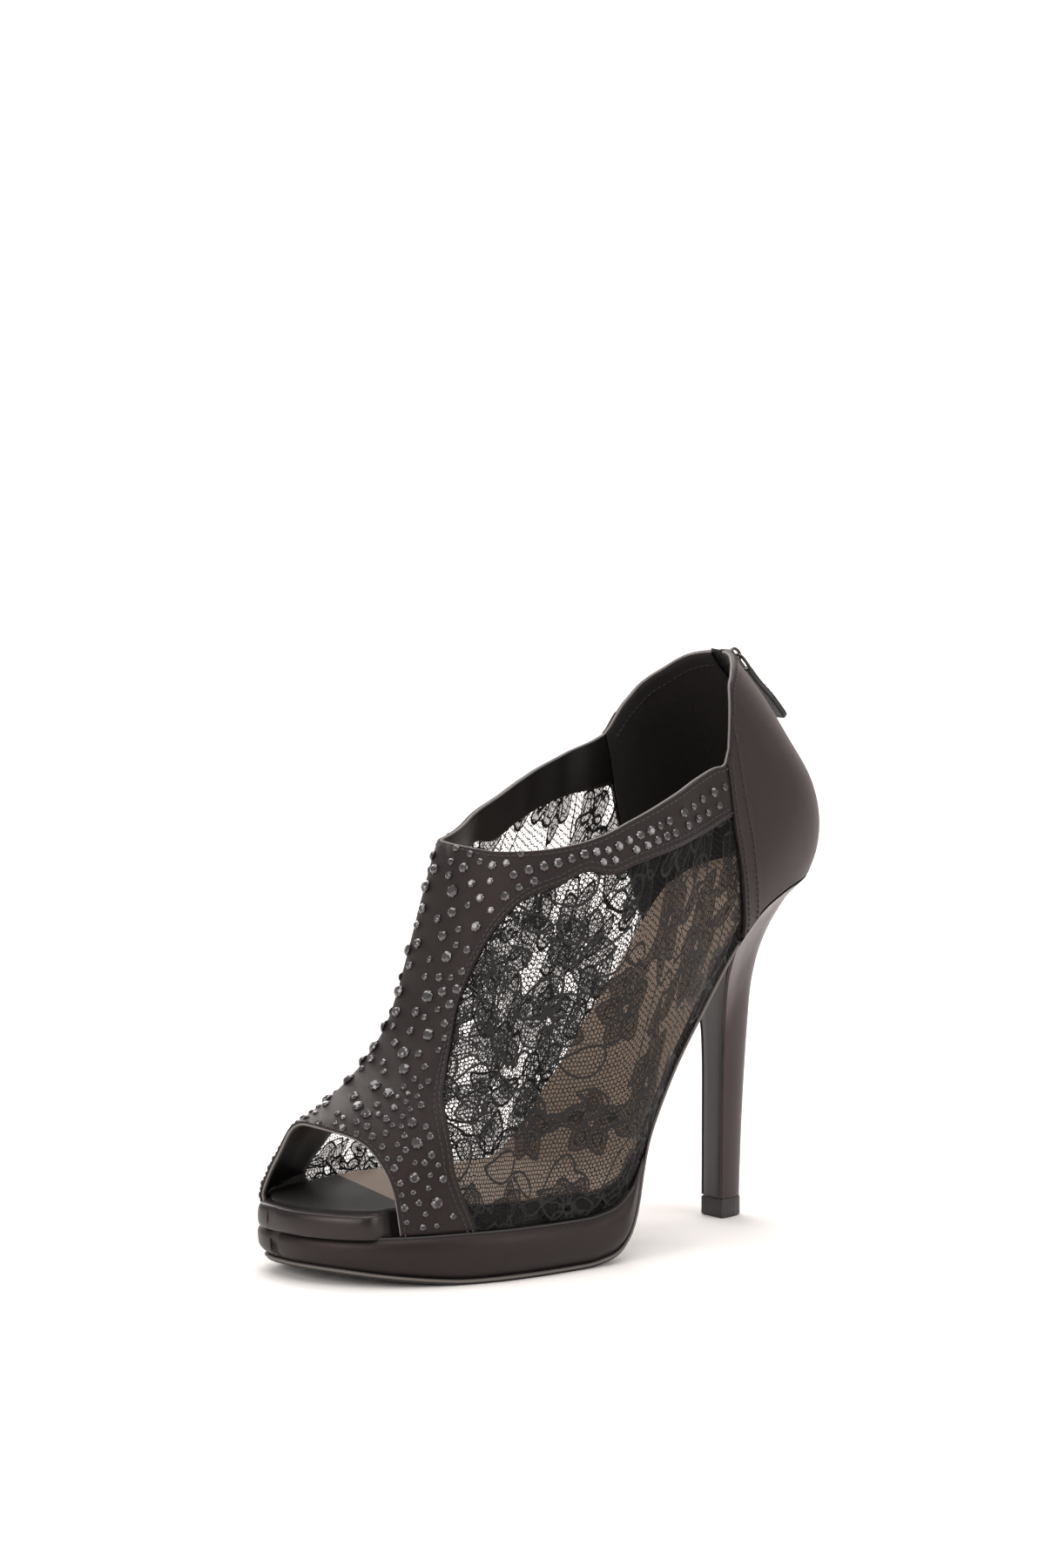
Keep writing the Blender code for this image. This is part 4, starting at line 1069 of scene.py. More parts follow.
# Pale grey-brown: a painted highlight for the thin outsole's edge.
sole_edge_highlight = fabric_finish("sole_edge_highlight", (0.10, 0.085, 0.075), (0.17, 0.145, 0.13), 0.5, 0.0008,
                          bump=0.2, coords="Object")
breast_gloss = fabric_finish("breast_gloss", (0.006, 0.005, 0.005), (0.015, 0.012, 0.011), 0.28, 0.0012,
                             bump=0.06, coords="Object")
tip_plastic = fabric_finish("tip_plastic", (0.014, 0.012, 0.012), (0.034, 0.029, 0.029), 0.45, 0.0014,
                            bump=0.15, coords="Object", patch=0.006)
print("finishes:", len(bpy.data.materials))

# %% [markdown]
# ## Lace
#
# Lace is a net with a pattern worked into it. The net here is a shader: a hexagon formula on the
# panel's own map, in millimetres, with holes that really let light through. The flowers and
# leaves are drawn in code as closed outlines. Each point of the panel stores how far it lies
# from them, so the shader can lay a thick cord on each outline and a dense weave inside it.

# %% Hexagon net group
def make_net_group():
    group, entry, leave = new_group("hex_net", [
        ("Vector", "NodeSocketVector", None), ("Cell", "NodeSocketFloat", 1.5)],
        [("Edge", "NodeSocketFloat")])
    m = Maths(group)
    cell = entry.outputs["Cell"]
    size = (1.0, 1.7320508, 1.0)
    half = (0.5, 0.8660254, 0.5)
    p = m.vec("SCALE", entry.outputs["Vector"], scale=m.do("DIVIDE", 1.0, cell))
    p = m.vec("ADD", p, (100.0, 173.20508, 0.0))
    a = m.vec("SUBTRACT", m.vec("MODULO", p, size), half)
    b = m.vec("SUBTRACT", m.vec("MODULO", m.vec("ADD", p, half), size), half)
    a = m.vec("MULTIPLY", a, (1.0, 1.0, 0.0))
    b = m.vec("MULTIPLY", b, (1.0, 1.0, 0.0))
    nearer = m.do("LESS_THAN", m.vec("DOT_PRODUCT", a, a), m.vec("DOT_PRODUCT", b, b))
    pick = group.nodes.new("ShaderNodeMix")
    pick.data_type = "VECTOR"
    m.put(pick.inputs[0], nearer)
    m.put(pick.inputs[4], b)
    m.put(pick.inputs[5], a)
    g = m.vec("ABSOLUTE", pick.outputs[1])
    reach = m.do("MAXIMUM", m.vec("DOT_PRODUCT", g, (0.5, 0.8660254, 0.0)), m.split(g)[0])
    edge = m.do("MULTIPLY", m.do("SUBTRACT", 0.5, reach), cell)
    group.links.new(edge, leave.inputs["Edge"])
    return group


HEX_NET = make_net_group()

# %% Lace finish
def lace_finish():
    material, tree, shader, m = start_finish("lace")
    uv = tree.nodes.new("ShaderNodeTexCoord").outputs["UV"]
    place = m.vec("SCALE", uv, scale=1000.0)
    wobble = m.noise(place, 0.35, 2.0)
    drift = m.join(m.do("MULTIPLY", wobble, 1.4), m.do("MULTIPLY", wobble, -1.0))
    place = m.vec("ADD", place, drift)
    net = tree.nodes.new("ShaderNodeGroup")
    net.node_tree = HEX_NET
    net.inputs["Cell"].default_value = 1.55
    tree.links.new(place, net.inputs["Vector"])
    thread = m.do("SUBTRACT", 1.0, m.step(net.outputs["Edge"], 0.12, 0.24))
    motif = tree.nodes.new("ShaderNodeAttribute")
    motif.attribute_name = "motifs"
    dense_a, dense_b, loose = m.split(motif.outputs["Vector"])
    outline = m.do("MINIMUM", m.do("ABSOLUTE", dense_a), m.do("ABSOLUTE", dense_b))
    outline = m.do("MINIMUM", outline, m.do("ABSOLUTE", loose))
    cord = m.do("SUBTRACT", 1.0, m.step(outline, 0.28, 0.62))
    echo = m.do("MINIMUM", m.do("ABSOLUTE", m.do("ADD", dense_a, 1.9)),
                m.do("ABSOLUTE", m.do("ADD", dense_b, 1.9)))
    echo = m.do("SUBTRACT", 1.0, m.step(echo, 0.12, 0.35))
    inside = m.do("SUBTRACT", 1.0, m.step(m.do("MINIMUM", dense_a, dense_b), -0.2, 0.1))
    x, y, z = m.split(place)
    hatch = m.do("SINE", m.do("MULTIPLY", m.do("ADD", m.do("MULTIPLY", x, 0.55), y), 6.6))
    hatch_two = m.do("SINE", m.do("MULTIPLY", m.do("SUBTRACT", x, m.do("MULTIPLY", y, 0.25)), 9.0))
    weave = m.do("MAXIMUM", m.step(hatch, -0.55, 0.15), m.step(hatch_two, 0.2, 0.8))
    fill = m.do("MULTIPLY", inside, m.do("ADD", 0.28, m.do("MULTIPLY", weave, 0.52)))
    alpha = m.do("MAXIMUM", thread, m.do("MAXIMUM", cord, m.do("MAXIMUM", echo, fill)))
    tree.links.new(alpha, shader.inputs["Alpha"])
    height = m.do("ADD", m.do("MULTIPLY", cord, 1.0), m.do("MULTIPLY", echo, 0.45))
    height = m.do("ADD", height, m.do("MULTIPLY", m.do("MULTIPLY", inside, hatch), 0.12))
    bump = tree.nodes.new("ShaderNodeBump")
    bump.inputs["Strength"].default_value = 0.9
    bump.inputs["Distance"].default_value = 0.0006
    tree.links.new(height, bump.inputs["Height"])
    tree.links.new(bump.outputs["Normal"], shader.inputs["Normal"])
    # The cords are painted lighter than the dark net: a painted sheen on the raised cord. The dense weave is
    # lightened a little too.
    tone = m.mix(m.do("MAXIMUM", cord, m.do("MULTIPLY", weave, 0.35)), (0.0030, 0.0026, 0.0026, 1),
                 (0.0120, 0.0105, 0.0105, 1))
    tree.links.new(tone, shader.inputs["Base Color"])
    rough = m.do("SUBTRACT", 0.8, m.do("MULTIPLY", cord, 0.25))
    tree.links.new(rough, shader.inputs["Roughness"])
    shader.inputs["Specular IOR Level"].default_value = 0.25
    return material


lace = lace_finish()
print("lace nodes:", len(lace.node_tree.nodes))

# %% Flower and leaf outlines
def leaf_outline(base, angle, length, width, bend):
    """A closed leaf: a bent spine with a half-width that swells and tapers."""
    left, right = [], []
    x, y = base
    count = 14
    for k in range(count + 1):
        s = k / count
        half = width / 2 * max(0.0, math.sin(math.pi * s ** 0.75)) ** 0.8
        turn = angle + bend * s
        left.append((x - half * math.sin(turn), y + half * math.cos(turn)))
        right.append((x + half * math.sin(turn), y - half * math.cos(turn)))
        x += length / count * math.cos(turn)
        y += length / count * math.sin(turn)
    return np.array(left + right[::-1][1:-1])


def draw_motifs(seed, width, height):
    """Flowers on a loose grid with scrolling leaves between them. Channels 0 and 1 are dense."""
    rng = random.Random(seed)
    shapes = []
    pitch = 28.0
    rows = int(height / pitch) + 2
    for i in range(int(width / pitch) + 2):
        for j in range(rows):
            x = (i + 0.5 * (j % 2)) * pitch + rng.uniform(-5, 5)
            y = (j + 0.2) * pitch + rng.uniform(-5, 5)
            start = rng.uniform(0, 2 * math.pi)
            petals = rng.choice((5, 6))
            radius = rng.uniform(9.5, 13.0)
            for k in range(petals):
                angle = start + 2 * math.pi * k / petals
                base = (x + 1.6 * math.cos(angle), y + 1.6 * math.sin(angle))
                shapes.append((k % 2, leaf_outline(base, angle, radius, radius * 0.78,
                                                   rng.uniform(-0.25, 0.25))))
            shapes.append((2, leaf_outline((x - 2.2, y), 0.0, 4.4, 4.4, 0.0)))
            heading = rng.uniform(0.2, 1.1)
            for step in range(3):
                away = 12 + 7 * step
                base = (x + away * math.cos(heading), y + away * math.sin(heading))
                side = 1 if step % 2 else -1
                shapes.append((2 if step == 1 else step // 2, leaf_outline(
                    base, heading + side * 0.7, rng.uniform(11, 17), rng.uniform(4.5, 6.5), -side * 0.9)))
            shapes.append((2, leaf_outline((x + 9, y - 9), heading - 1.6, rng.uniform(19, 26), 9.5,
                                           rng.uniform(0.8, 1.3))))
    return shapes


def signed_distance(points, outline):
    """Distance from each point to a closed outline, negative inside, in the same unit."""
    nearest = np.full(len(points), 1e9)
    inside = np.zeros(len(points), bool)
    for k in range(len(outline)):
        a, b = outline[k - 1], outline[k]
        edge_line = b - a
        share_along = np.clip(((points - a) @ edge_line) / max(edge_line @ edge_line, 1e-9), 0, 1)
        gap = points - a - share_along[:, None] * edge_line
        nearest = np.minimum(nearest, np.linalg.norm(gap, axis=1))
        if a[1] != b[1]:
            crosses = (points[:, 1] > min(a[1], b[1])) & (points[:, 1] <= max(a[1], b[1]))
            at_x = a[0] + (points[:, 1] - a[1]) / (b[1] - a[1]) * edge_line[0]
            inside ^= crosses & (points[:, 0] < at_x)
    return np.where(inside, -nearest, nearest)


def motif_distances(spots, seed):
    """Three channels of signed distance to the motifs, in millimetres, for spots in millimetres."""
    far = 9.0
    values = np.full((len(spots), 3), far)
    for channel, outline in draw_motifs(seed, spots[:, 0].max(), spots[:, 1].max()):
        low, high = outline.min(axis=0) - far, outline.max(axis=0) + far
        near = np.nonzero(((spots > low) & (spots < high)).all(axis=1))[0]
        if len(near):
            found = signed_distance(spots[near], outline)
            values[near, channel] = np.minimum(values[near, channel], found)
    return values


# %% Lace panels
LACE_DEPTH = 0.0012
LACE_COLUMNS = 190
LACE_ROWS = 84


def lace_spot(t, side, v):
    up = wall_top(t, side) * (1 - (1 - v) ** 1.25)
    return off_bed(wall(toe_station(t, side, up), side, up, LACE_DEPTH))


def make_lace(name, side):
    grid = [[lace_spot(i / LACE_COLUMNS, side, j / LACE_ROWS) for j in range(LACE_ROWS + 1)]
            for i in range(1, LACE_COLUMNS + 1)]
    bm = bmesh.new()
    along, up = add_grid(bm, grid, flip=side > 0)
    mesh = as_mesh(bm, name)
    spots = np.stack([along.ravel(), up.ravel()], axis=1) * 1000
    values = motif_distances(spots, 11 if side > 0 else 23)
    attribute = mesh.attributes.new("motifs", "FLOAT_VECTOR", "POINT")
    attribute.data.foreach_set("vector", values.astype(np.float32).ravel())
    return link_mesh(name, mesh, lace)


lace_outer = make_lace("lace_outer_side", 1)
lace_inner = make_lace("lace_inner_side", -1)
finish_piece(lace_outer, "shoe", ["upper"])
finish_piece(lace_inner, "shoe", ["upper"])

# %% [markdown]
# ## The satin T and collar band
#
# One piece of satin frames the toe opening, runs back up the instep and round the topline. It
# is cut twice, once in satin and once in glossy lining, with the lace glued between.

# %% Strap patch
LINING = 0.0004
STRAP_LINING_DEPTH = 0.0015
STRAP_FINE = {"toe": 56, "ridge": 44, "band": 84, "across": 20}


def strap_paths():
    toe = [TOE_SHARE * (1 - (1 - k / STRAP_FINE["toe"]) ** 2.0) for k in range(STRAP_FINE["toe"])]
    ridge = [TOE_SHARE + RIDGE_SHARE * k / STRAP_FINE["ridge"] for k in range(STRAP_FINE["ridge"])]
    rest = 1 - TOE_SHARE - RIDGE_SHARE
    band = [TOE_SHARE + RIDGE_SHARE + rest * k / STRAP_FINE["band"]
            for k in range(STRAP_FINE["band"] + 1)]
    return toe + ridge + band


def strap_spot(path, v, side):
    """Station, side and height of a spot on the strap: v is 0 at the lace and 1 at the free edge."""
    name = "lateral" if side > 0 else "medial"
    inner_t = station(strap_value(name + "_at", path))
    inner_up = strap_value(name + "_up", path)
    outer_t, outer_up = strap_outer_edge(path, side)
    return inner_t + (outer_t - inner_t) * v, side, inner_up + (outer_up - inner_up) * v


def strap_point(path, v, side, depth=0.0):
    return off_bed(wall(*strap_spot(path, v, side), depth))


def crowded(count, power=1.7):
    return [1 - (1 - k / count) ** power for k in range(count + 1)]


def make_strap(name, depth, material):
    """Both sides of the T in one mesh, joined along the ridge."""
    bm = bmesh.new()
    for side in (1, -1):
        grid = [[strap_point(path, v, side, depth) for v in crowded(STRAP_FINE["across"])]
                for path in strap_paths()]
        add_grid(bm, grid, flip=side < 0)
    bmesh.ops.remove_doubles(bm, verts=bm.verts, dist=4e-5)
    mesh = as_mesh(bm, name)
    return link_mesh(name, mesh, material)


strap = make_strap("satin_strap", 0.0, satin)
thicken(strap, OVERLAY)
strap_lining = make_strap("strap_lining", STRAP_LINING_DEPTH, gloss_lining)
thicken(strap_lining, LINING)
finish_piece(strap, "shoe", ["vamp_strap"])
finish_piece(strap_lining, "shoe", ["upper"])

# %% [markdown]
# ## The heel counter
#
# Two stiff satin panels wrap the heel from the zip forward. Each is folded under at its front
# and held down by a strip with two rows of stitches. Inside, they are lined in brown-black cloth.

# %% Counter panels
COUNTER_LINING_DEPTH = 0.0016
FOLD_STRIP = 0.0052
FOLD_LIFT = 0.00045


def counter_spot(u, v, side):
    name = "lateral" if side > 0 else "medial"
    t = station(COUNTER_CORNER[side]) * u
    for _ in range(6):
        up = v * topline_up(t, side)
        front = smooth(COUNTER_COLUMNS_NAMED, COUNTER_FRONT, name, up, "height")
        back = counter_back(up, side)
        t = back + (station(front) - back) * u
    return t, side, up


def counter_point(u, v, side, depth=0.0):
    return off_bed(wall(*counter_spot(u, v, side), depth))


def make_counter(name, side, depth, material, u_low=0.0, strip=0.0, columns=24, rows=44):
    grid = []
    for i in range(columns + 1):
        row = []
        for j in range(rows + 1):
            v = j / rows
            low = u_low
            if strip:
                width = (counter_point(0, v, side) - counter_point(1, v, side)).length
                low = 1 - strip / width
            row.append(counter_point(low + (1 - low) * i / columns, v, side, depth))
        grid.append(row)
    return link_mesh(name, grid_mesh(name, grid, flip=side > 0), material)


for side, word in ((1, "outer"), (-1, "inner")):
    node = "counter_lateral" if side > 0 else "counter_medial"
    panel = make_counter("counter_" + word, side, 0.0, counter_satin)
    thicken(panel, OVERLAY, 0.00025)
    finish_piece(panel, "shoe", [node])
    fold = make_counter("counter_fold_" + word, side, -FOLD_LIFT, counter_satin, strip=FOLD_STRIP,
                        columns=6)
    thicken(fold, 0.0005, 0.0002)
    finish_piece(fold, "shoe", [])
    inside = make_counter("counter_lining_" + word, side, COUNTER_LINING_DEPTH, fabric_lining)
    thicken(inside, LINING)
    finish_piece(inside, "shoe", ["upper"])

# %% [markdown]
# ## Edges
#
# A fine pale grey line runs round the topline and the toe opening: a painted highlight where
# the folded edge catches the light. Each is a thin tube along the edge's own path.

# %% Tubes
def join_rings(bm, near, far):
    for k in range(len(near)):
        bm.faces.new((near[k - 1], near[k], far[k], far[k - 1]))


def tube_mesh(name, points, radius, sides=8, closed=False):
    """A round tube through points, with its ring kept from twisting."""
    bm = bmesh.new()
    rings = []
    count = len(points)
    normal = Vector((0, 0, 1))
    for k, point in enumerate(points):
        before = points[k - 1] if k or closed else point
        after = points[(k + 1) % count] if k < count - 1 or closed else point
        tangent = (after - before).normalized()
        normal = (normal - tangent * normal.dot(tangent))
        normal = normal.normalized() if normal.length > 1e-6 else tangent.orthogonal().normalized()
        binormal = tangent.cross(normal)
        ring = []
        for s in range(sides):
            angle = 2 * math.pi * s / sides
            spoke = normal * math.cos(angle) + binormal * math.sin(angle)
            ring.append(bm.verts.new(point + spoke * radius))
        rings.append(ring)
    pairs = list(zip(rings, rings[1:])) + ([(rings[-1], rings[0])] if closed else [])
    for near, far in pairs:
        join_rings(bm, near, far)
    if not closed:
        bm.faces.new(list(reversed(rings[0])))
        bm.faces.new(rings[-1])
    return closed_mesh(bm, name)


def lined(*pieces):
    line = []
    for piece in pieces:
        for point in piece:
            if not line or (point - line[-1]).length > 2e-4:
                line.append(point)
    return line


def band_line(side, depth, count=70):
    start = TOE_SHARE + RIDGE_SHARE
    return [strap_point(start + (1 - start) * k / count, 1.0, side, depth)
            for k in range(count + 1)]


def counter_top_line(side, depth, count=26):
    return [counter_point(1 - k / count, 1.0, side, depth) for k in range(count + 1)]


def toe_line(side, depth, count=46):
    paths = [TOE_SHARE * (1 - (1 - k / count) ** 2.0) for k in range(count + 1)]
    return [strap_point(path, 1.0, side, depth) for path in paths]


# %% Painted edge highlights
# Pale tubes round the topline and the toe opening: a painted highlight on the folded edges.
HIGHLIGHT_TUBE_RADIUS = 0.00042
TOPLINE_DEPTH = 0.0012
TOE_OPENING_DEPTH = 0.0010
topline = lined(counter_top_line(1, TOPLINE_DEPTH)[::-1], band_line(1, TOPLINE_DEPTH)[::-1],
                band_line(-1, TOPLINE_DEPTH), counter_top_line(-1, TOPLINE_DEPTH))
topline_highlight = link_mesh("topline_edge", tube_mesh("topline_edge", topline, HIGHLIGHT_TUBE_RADIUS), painted_edge_highlight)
finish_piece(topline_highlight, "shoe", [])
toe_opening = lined(toe_line(1, TOE_OPENING_DEPTH), toe_line(-1, TOE_OPENING_DEPTH)[::-1])
toe_highlight_tube = tube_mesh("toe_opening_edge", toe_opening, HIGHLIGHT_TUBE_RADIUS)
finish_piece(link_mesh("toe_opening_edge", toe_highlight_tube, painted_edge_highlight), "shoe", [])

# %% [markdown]
# ## Small things in numbers: stones, stitches and teeth
#
# Hundreds of stones and stitches are one small shape set on many points. One Geometry Nodes
# tree does it: each point carries which way it faces, which way it runs and its size.

# %% Scatter tree
def make_scatter_tree():
    tree = bpy.data.node_groups.new("set_on_points", "GeometryNodeTree")
    tree.interface.new_socket("Geometry", in_out="INPUT", socket_type="NodeSocketGeometry")
    tree.interface.new_socket("Unit", in_out="INPUT", socket_type="NodeSocketObject")
    size = tree.interface.new_socket("Size", in_out="INPUT", socket_type="NodeSocketFloat")
    size.default_value = 1.0
    tree.interface.new_socket("Finish", in_out="INPUT", socket_type="NodeSocketMaterial")
    tree.interface.new_socket("Geometry", in_out="OUTPUT", socket_type="NodeSocketGeometry")
    nodes, links = tree.nodes, tree.links
    entry = nodes.new("NodeGroupInput")
    leave = nodes.new("NodeGroupOutput")

    def attribute(name):
        node = nodes.new("GeometryNodeInputNamedAttribute")
        node.data_type = "FLOAT_VECTOR"
        node.inputs["Name"].default_value = name
        return node.outputs["Attribute"]

    face = nodes.new("FunctionNodeAlignRotationToVector")
    face.axis = "Z"
    links.new(attribute("facing"), face.inputs["Vector"])
    run = nodes.new("FunctionNodeAlignRotationToVector")
    run.axis = "X"
    run.pivot_axis = "Z"
    links.new(face.outputs["Rotation"], run.inputs["Rotation"])
    links.new(attribute("running"), run.inputs["Vector"])
    scale = nodes.new("ShaderNodeVectorMath")
    scale.operation = "SCALE"
    links.new(attribute("measure"), scale.inputs[0])
    links.new(entry.outputs["Size"], scale.inputs["Scale"])
    unit = nodes.new("GeometryNodeObjectInfo")
    links.new(entry.outputs["Unit"], unit.inputs["Object"])
    place = nodes.new("GeometryNodeInstanceOnPoints")
    links.new(entry.outputs["Geometry"], place.inputs["Points"])
    links.new(unit.outputs["Geometry"], place.inputs["Instance"])
    links.new(run.outputs["Rotation"], place.inputs["Rotation"])
    links.new(scale.outputs["Vector"], place.inputs["Scale"])
    real = nodes.new("GeometryNodeRealizeInstances")
    links.new(place.outputs["Instances"], real.inputs["Geometry"])
    paint = nodes.new("GeometryNodeSetMaterial")
    links.new(real.outputs["Geometry"], paint.inputs["Geometry"])
    links.new(entry.outputs["Finish"], paint.inputs["Material"])
    links.new(paint.outputs["Geometry"], leave.inputs["Geometry"])
    return tree


SCATTER = make_scatter_tree()


def scatter(name, unit, spots, material, smooth=True):
    """spots: (place, facing, running, measure) for each copy of the unit mesh."""
    mesh = bpy.data.meshes.new(name + "_points")
    mesh.from_pydata([tuple(s[0]) for s in spots], [], [])
    for k, label in ((1, "facing"), (2, "running"), (3, "measure")):
        layer = mesh.attributes.new(label, "FLOAT_VECTOR", "POINT")
        layer.data.foreach_set("vector", [c for s in spots for c in s[k]])
    carrier = bpy.data.objects.new(name + "_points", mesh)
    holder = bpy.data.objects.new(name + "_unit", unit)
    for obj in (carrier, holder):
        show(obj)
    modifier = carrier.modifiers.new("scatter", "NODES")
    modifier.node_group = SCATTER
    keys = {s.name: s.identifier for s in SCATTER.interface.items_tree if s.in_out == "INPUT"}
    modifier[keys["Unit"]] = holder
    modifier[keys["Size"]] = 1.0
    modifier[keys["Finish"]] = material
    graph = bpy.context.evaluated_depsgraph_get()
    result = bpy.data.meshes.new_from_object(carrier.evaluated_get(graph))
    result.name = name
    for obj in (carrier, holder):
        bpy.data.objects.remove(obj, do_unlink=True)
    for label in ("facing", "running", "measure"):
        if label in result.attributes:
            result.attributes.remove(result.attributes[label])
    result.materials.clear()
    result.materials.append(material)
    if smooth:
        result.shade_smooth()
        result.set_sharp_from_angle(angle=math.radians(50))
    else:
        result.shade_flat()
    obj = bpy.data.objects.new(name, result)
    show(obj)
    print(name, len(spots), "copies,", len(result.polygons), "faces")
    return obj


def skin_frame(point_at, a, b, step=0.004):
    """Outward normal and first direction of a surface point_at(a, b), for side +1 or -1."""
    here = point_at(a, b)
    da = point_at(min(1.0, a + step), b) - point_at(max(0.0, a - step), b)
    db = point_at(a, min(1.0, b + step)) - point_at(a, max(0.0, b - step))
    return here, da.cross(db).normalized(), da.normalized()


# %% Cut stone
def jet_finish():
    """Dark polished glass: nearly black, with a hard clear coat and a slight silver back."""
    material, tree, shader, m = start_finish("jet_stone")
    place = tree.nodes.new("ShaderNodeTexCoord").outputs["Object"]
    cloud = m.noise(place, 420.0, 2.0)
    tree.links.new(m.mix(cloud, (0.010, 0.009, 0.010, 1), (0.12, 0.11, 0.11, 1)),
                   shader.inputs["Base Color"])
    tree.links.new(m.do("ADD", 0.03, m.do("MULTIPLY", cloud, 0.08)), shader.inputs["Roughness"])
    shader.inputs["Metallic"].default_value = 0.55
    shader.inputs["Coat Weight"].default_value = 1.0
    shader.inputs["Coat Roughness"].default_value = 0.04
    return material


jet = jet_finish()


def stone_unit():
    """A round brilliant with its table up: radius 1, standing 0.62 tall."""
    bm = bmesh.new()
    rings = []
    for radius, height, turn in ((0.92, 0.0, 0.0), (1.0, 0.16, 0.0), (0.80, 0.42, 0.5),
                                 (0.50, 0.62, 0.0)):
        rings.append([bm.verts.new((radius * math.cos(math.pi * (k + turn) / 4),
                                    radius * math.sin(math.pi * (k + turn) / 4), height))
                      for k in range(8)])
    for k in range(8):
        base, girdle, crown, table = rings
        n = (k + 1) % 8
        bm.faces.new((base[k], base[n], girdle[n], girdle[k]))
        bm.faces.new((girdle[k], girdle[n], crown[k]))
        bm.faces.new((girdle[n], crown[n], crown[k]))
        bm.faces.new((crown[k], crown[n], table[n]))
        bm.faces.new((crown[k], table[n], table[k]))
    bm.faces.new(rings[3])
    bm.faces.new(list(reversed(rings[0])))
    return closed_mesh(bm, "stone_unit")


# %% Where the stones go
def stone_spots():
    """Rows on the band, large stones down the instep and a dense field round the toe."""
    rng = random.Random(5)
    placed = []

    def room(point, gap):
        return all((point - other).length > gap + reach for other, reach in placed)

    def put(side, path, v, radius, gap=0.0007):
        here, normal, run = skin_frame(lambda a, b: strap_point(a, b, side), path, v)
        if side < 0:
            normal = -normal
        if not room(here, radius + gap):
            return
        placed.append((here, radius))
        spin = rng.uniform(0, math.pi)
        across = normal.cross(run)
        turned = run * math.cos(spin) + across * math.sin(spin)
        tilt = Vector([rng.uniform(-0.06, 0.06) for _ in range(3)])
        spots.append((here, (normal + tilt).normalized(), turned, (radius, radius, radius)))

    spots = []
    ridge = TOE_SHARE + RIDGE_SHARE
    for side in (1, -1):
        for k in range(24):
            path = ridge + 0.03 + (1 - ridge - 0.045) * k / 23
            narrow = (k / 23)
            for row, v in enumerate((0.34, 0.62, 0.84)):
                if row == 2 and narrow > 0.30 or row == 1 and narrow < 0.0:
                    continue
                shift = 0.009 * (row % 2)
                put(side, min(0.988, path + shift), v - 0.02 * rng.random(),
                    rng.choice((0.0014, 0.00155, 0.0017)))
    for path, v, radius in ((0.53, 0.90, 0.0023), (0.50, 0.72, 0.0021), (0.475, 0.86, 0.0023),
                            (0.44, 0.60, 0.0022), (0.42, 0.84, 0.0023), (0.385, 0.66, 0.0021),
                            (0.36, 0.88, 0.0022), (0.325, 0.62, 0.0020), (0.30, 0.84, 0.0020),
                            (0.26, 0.66, 0.0019), (0.16, 0.40, 0.0021), (0.10, 0.62, 0.0019),
                            (0.05, 0.40, 0.0021), (0.20, 0.30, 0.0018)):
        put(1, path, v, radius)
        put(-1, path, v, radius)
    for _ in range(5200):
        side = rng.choice((1, -1))
        path = rng.uniform(0.012, 0.60)
        v = rng.uniform(0.16, 0.985)
        if path < TOE_SHARE:
            v = rng.uniform(0.20, 0.90)
        toe = path < 0.30
        if path < 0.12:
            keep = 0.0016
        else:
            keep = 0.0007 if toe else 0.0016
        radius = rng.choice((0.0010, 0.0012, 0.0014) if toe else (0.00125, 0.0015, 0.0018))
        put(side, path, v, radius, keep)
    return spots


stones = scatter("stones", stone_unit(), stone_spots(), jet, smooth=False)
finish_piece(stones, "shoe", [])

# %% [markdown]
# ## Stitches
#
# Each seam is a row of short raised threads, about 2 mm long with a little gap, a step in from
# the edge. The rows follow the same paths as the pieces that they hold.

# %% Stitch rows
def stitch_unit():
    """A short thread lying along X, 1 long, pinched where it goes down into the satin."""
    bm = bmesh.new()
    rings = []
    for x, radius, height in ((-0.5, 0.10, -0.08), (-0.32, 0.17, 0.04), (0.0, 0.19, 0.09),
                              (0.32, 0.17, 0.04), (0.5, 0.10, -0.08)):
        rings.append([bm.verts.new((x, radius * math.cos(math.pi * k / 3),
                                    height + 0.75 * radius * math.sin(math.pi * k / 3)))
                      for k in range(6)])
    for near, far in zip(rings, rings[1:]):
        join_rings(bm, near, far)
    bm.faces.new(list(reversed(rings[0])))
    bm.faces.new(rings[-1])
    return closed_mesh(bm, "stitch_unit")


def along_row(samples, pitch=0.0021, length=0.0016):
    """Evenly spaced stitches along sampled (point, normal) pairs."""
    spots = []
    travelled = 0.0
    for (p, n), (q, _) in zip(samples, samples[1:]):
        step = (q - p).length
        while travelled < step:
            here = p.lerp(q, travelled / max(step, 1e-9)) + n * 0.00008
            measure = (length, length * 0.85, length * 0.85)
            spots.append((here, n, (q - p).normalized(), measure))
            travelled += pitch
        travelled -= step
    return spots


def strap_row(side, inset, from_outer, start=0.0, end=1.0, count=150):
    samples = []
    for k in range(count + 1):
        path = start + (end - start) * k / count
        width = (strap_point(path, 0.0, side) - strap_point(path, 0.5, side)).length
        width += (strap_point(path, 0.5, side) - strap_point(path, 1.0, side)).length
        v = min(0.48, inset / max(width, 1e-4))
        across = 1 - v if from_outer else v
        here, normal, _ = skin_frame(lambda a, b: strap_point(a, b, side), path, across)
        samples.append((here, normal if side > 0 else -normal))
    return along_row(samples)


def counter_row(side, inset, depth=-FOLD_LIFT, count=60):
    samples = []
    for k in range(count + 1):
        v = 0.02 + 0.96 * k / count
        width = (counter_point(0, v, side) - counter_point(1, v, side)).length
        u = 1 - inset / width
        here, normal, _ = skin_frame(lambda a, b: counter_point(a, b, side, depth), u, v)
        samples.append((here, -normal if side > 0 else normal))
    return along_row(samples)


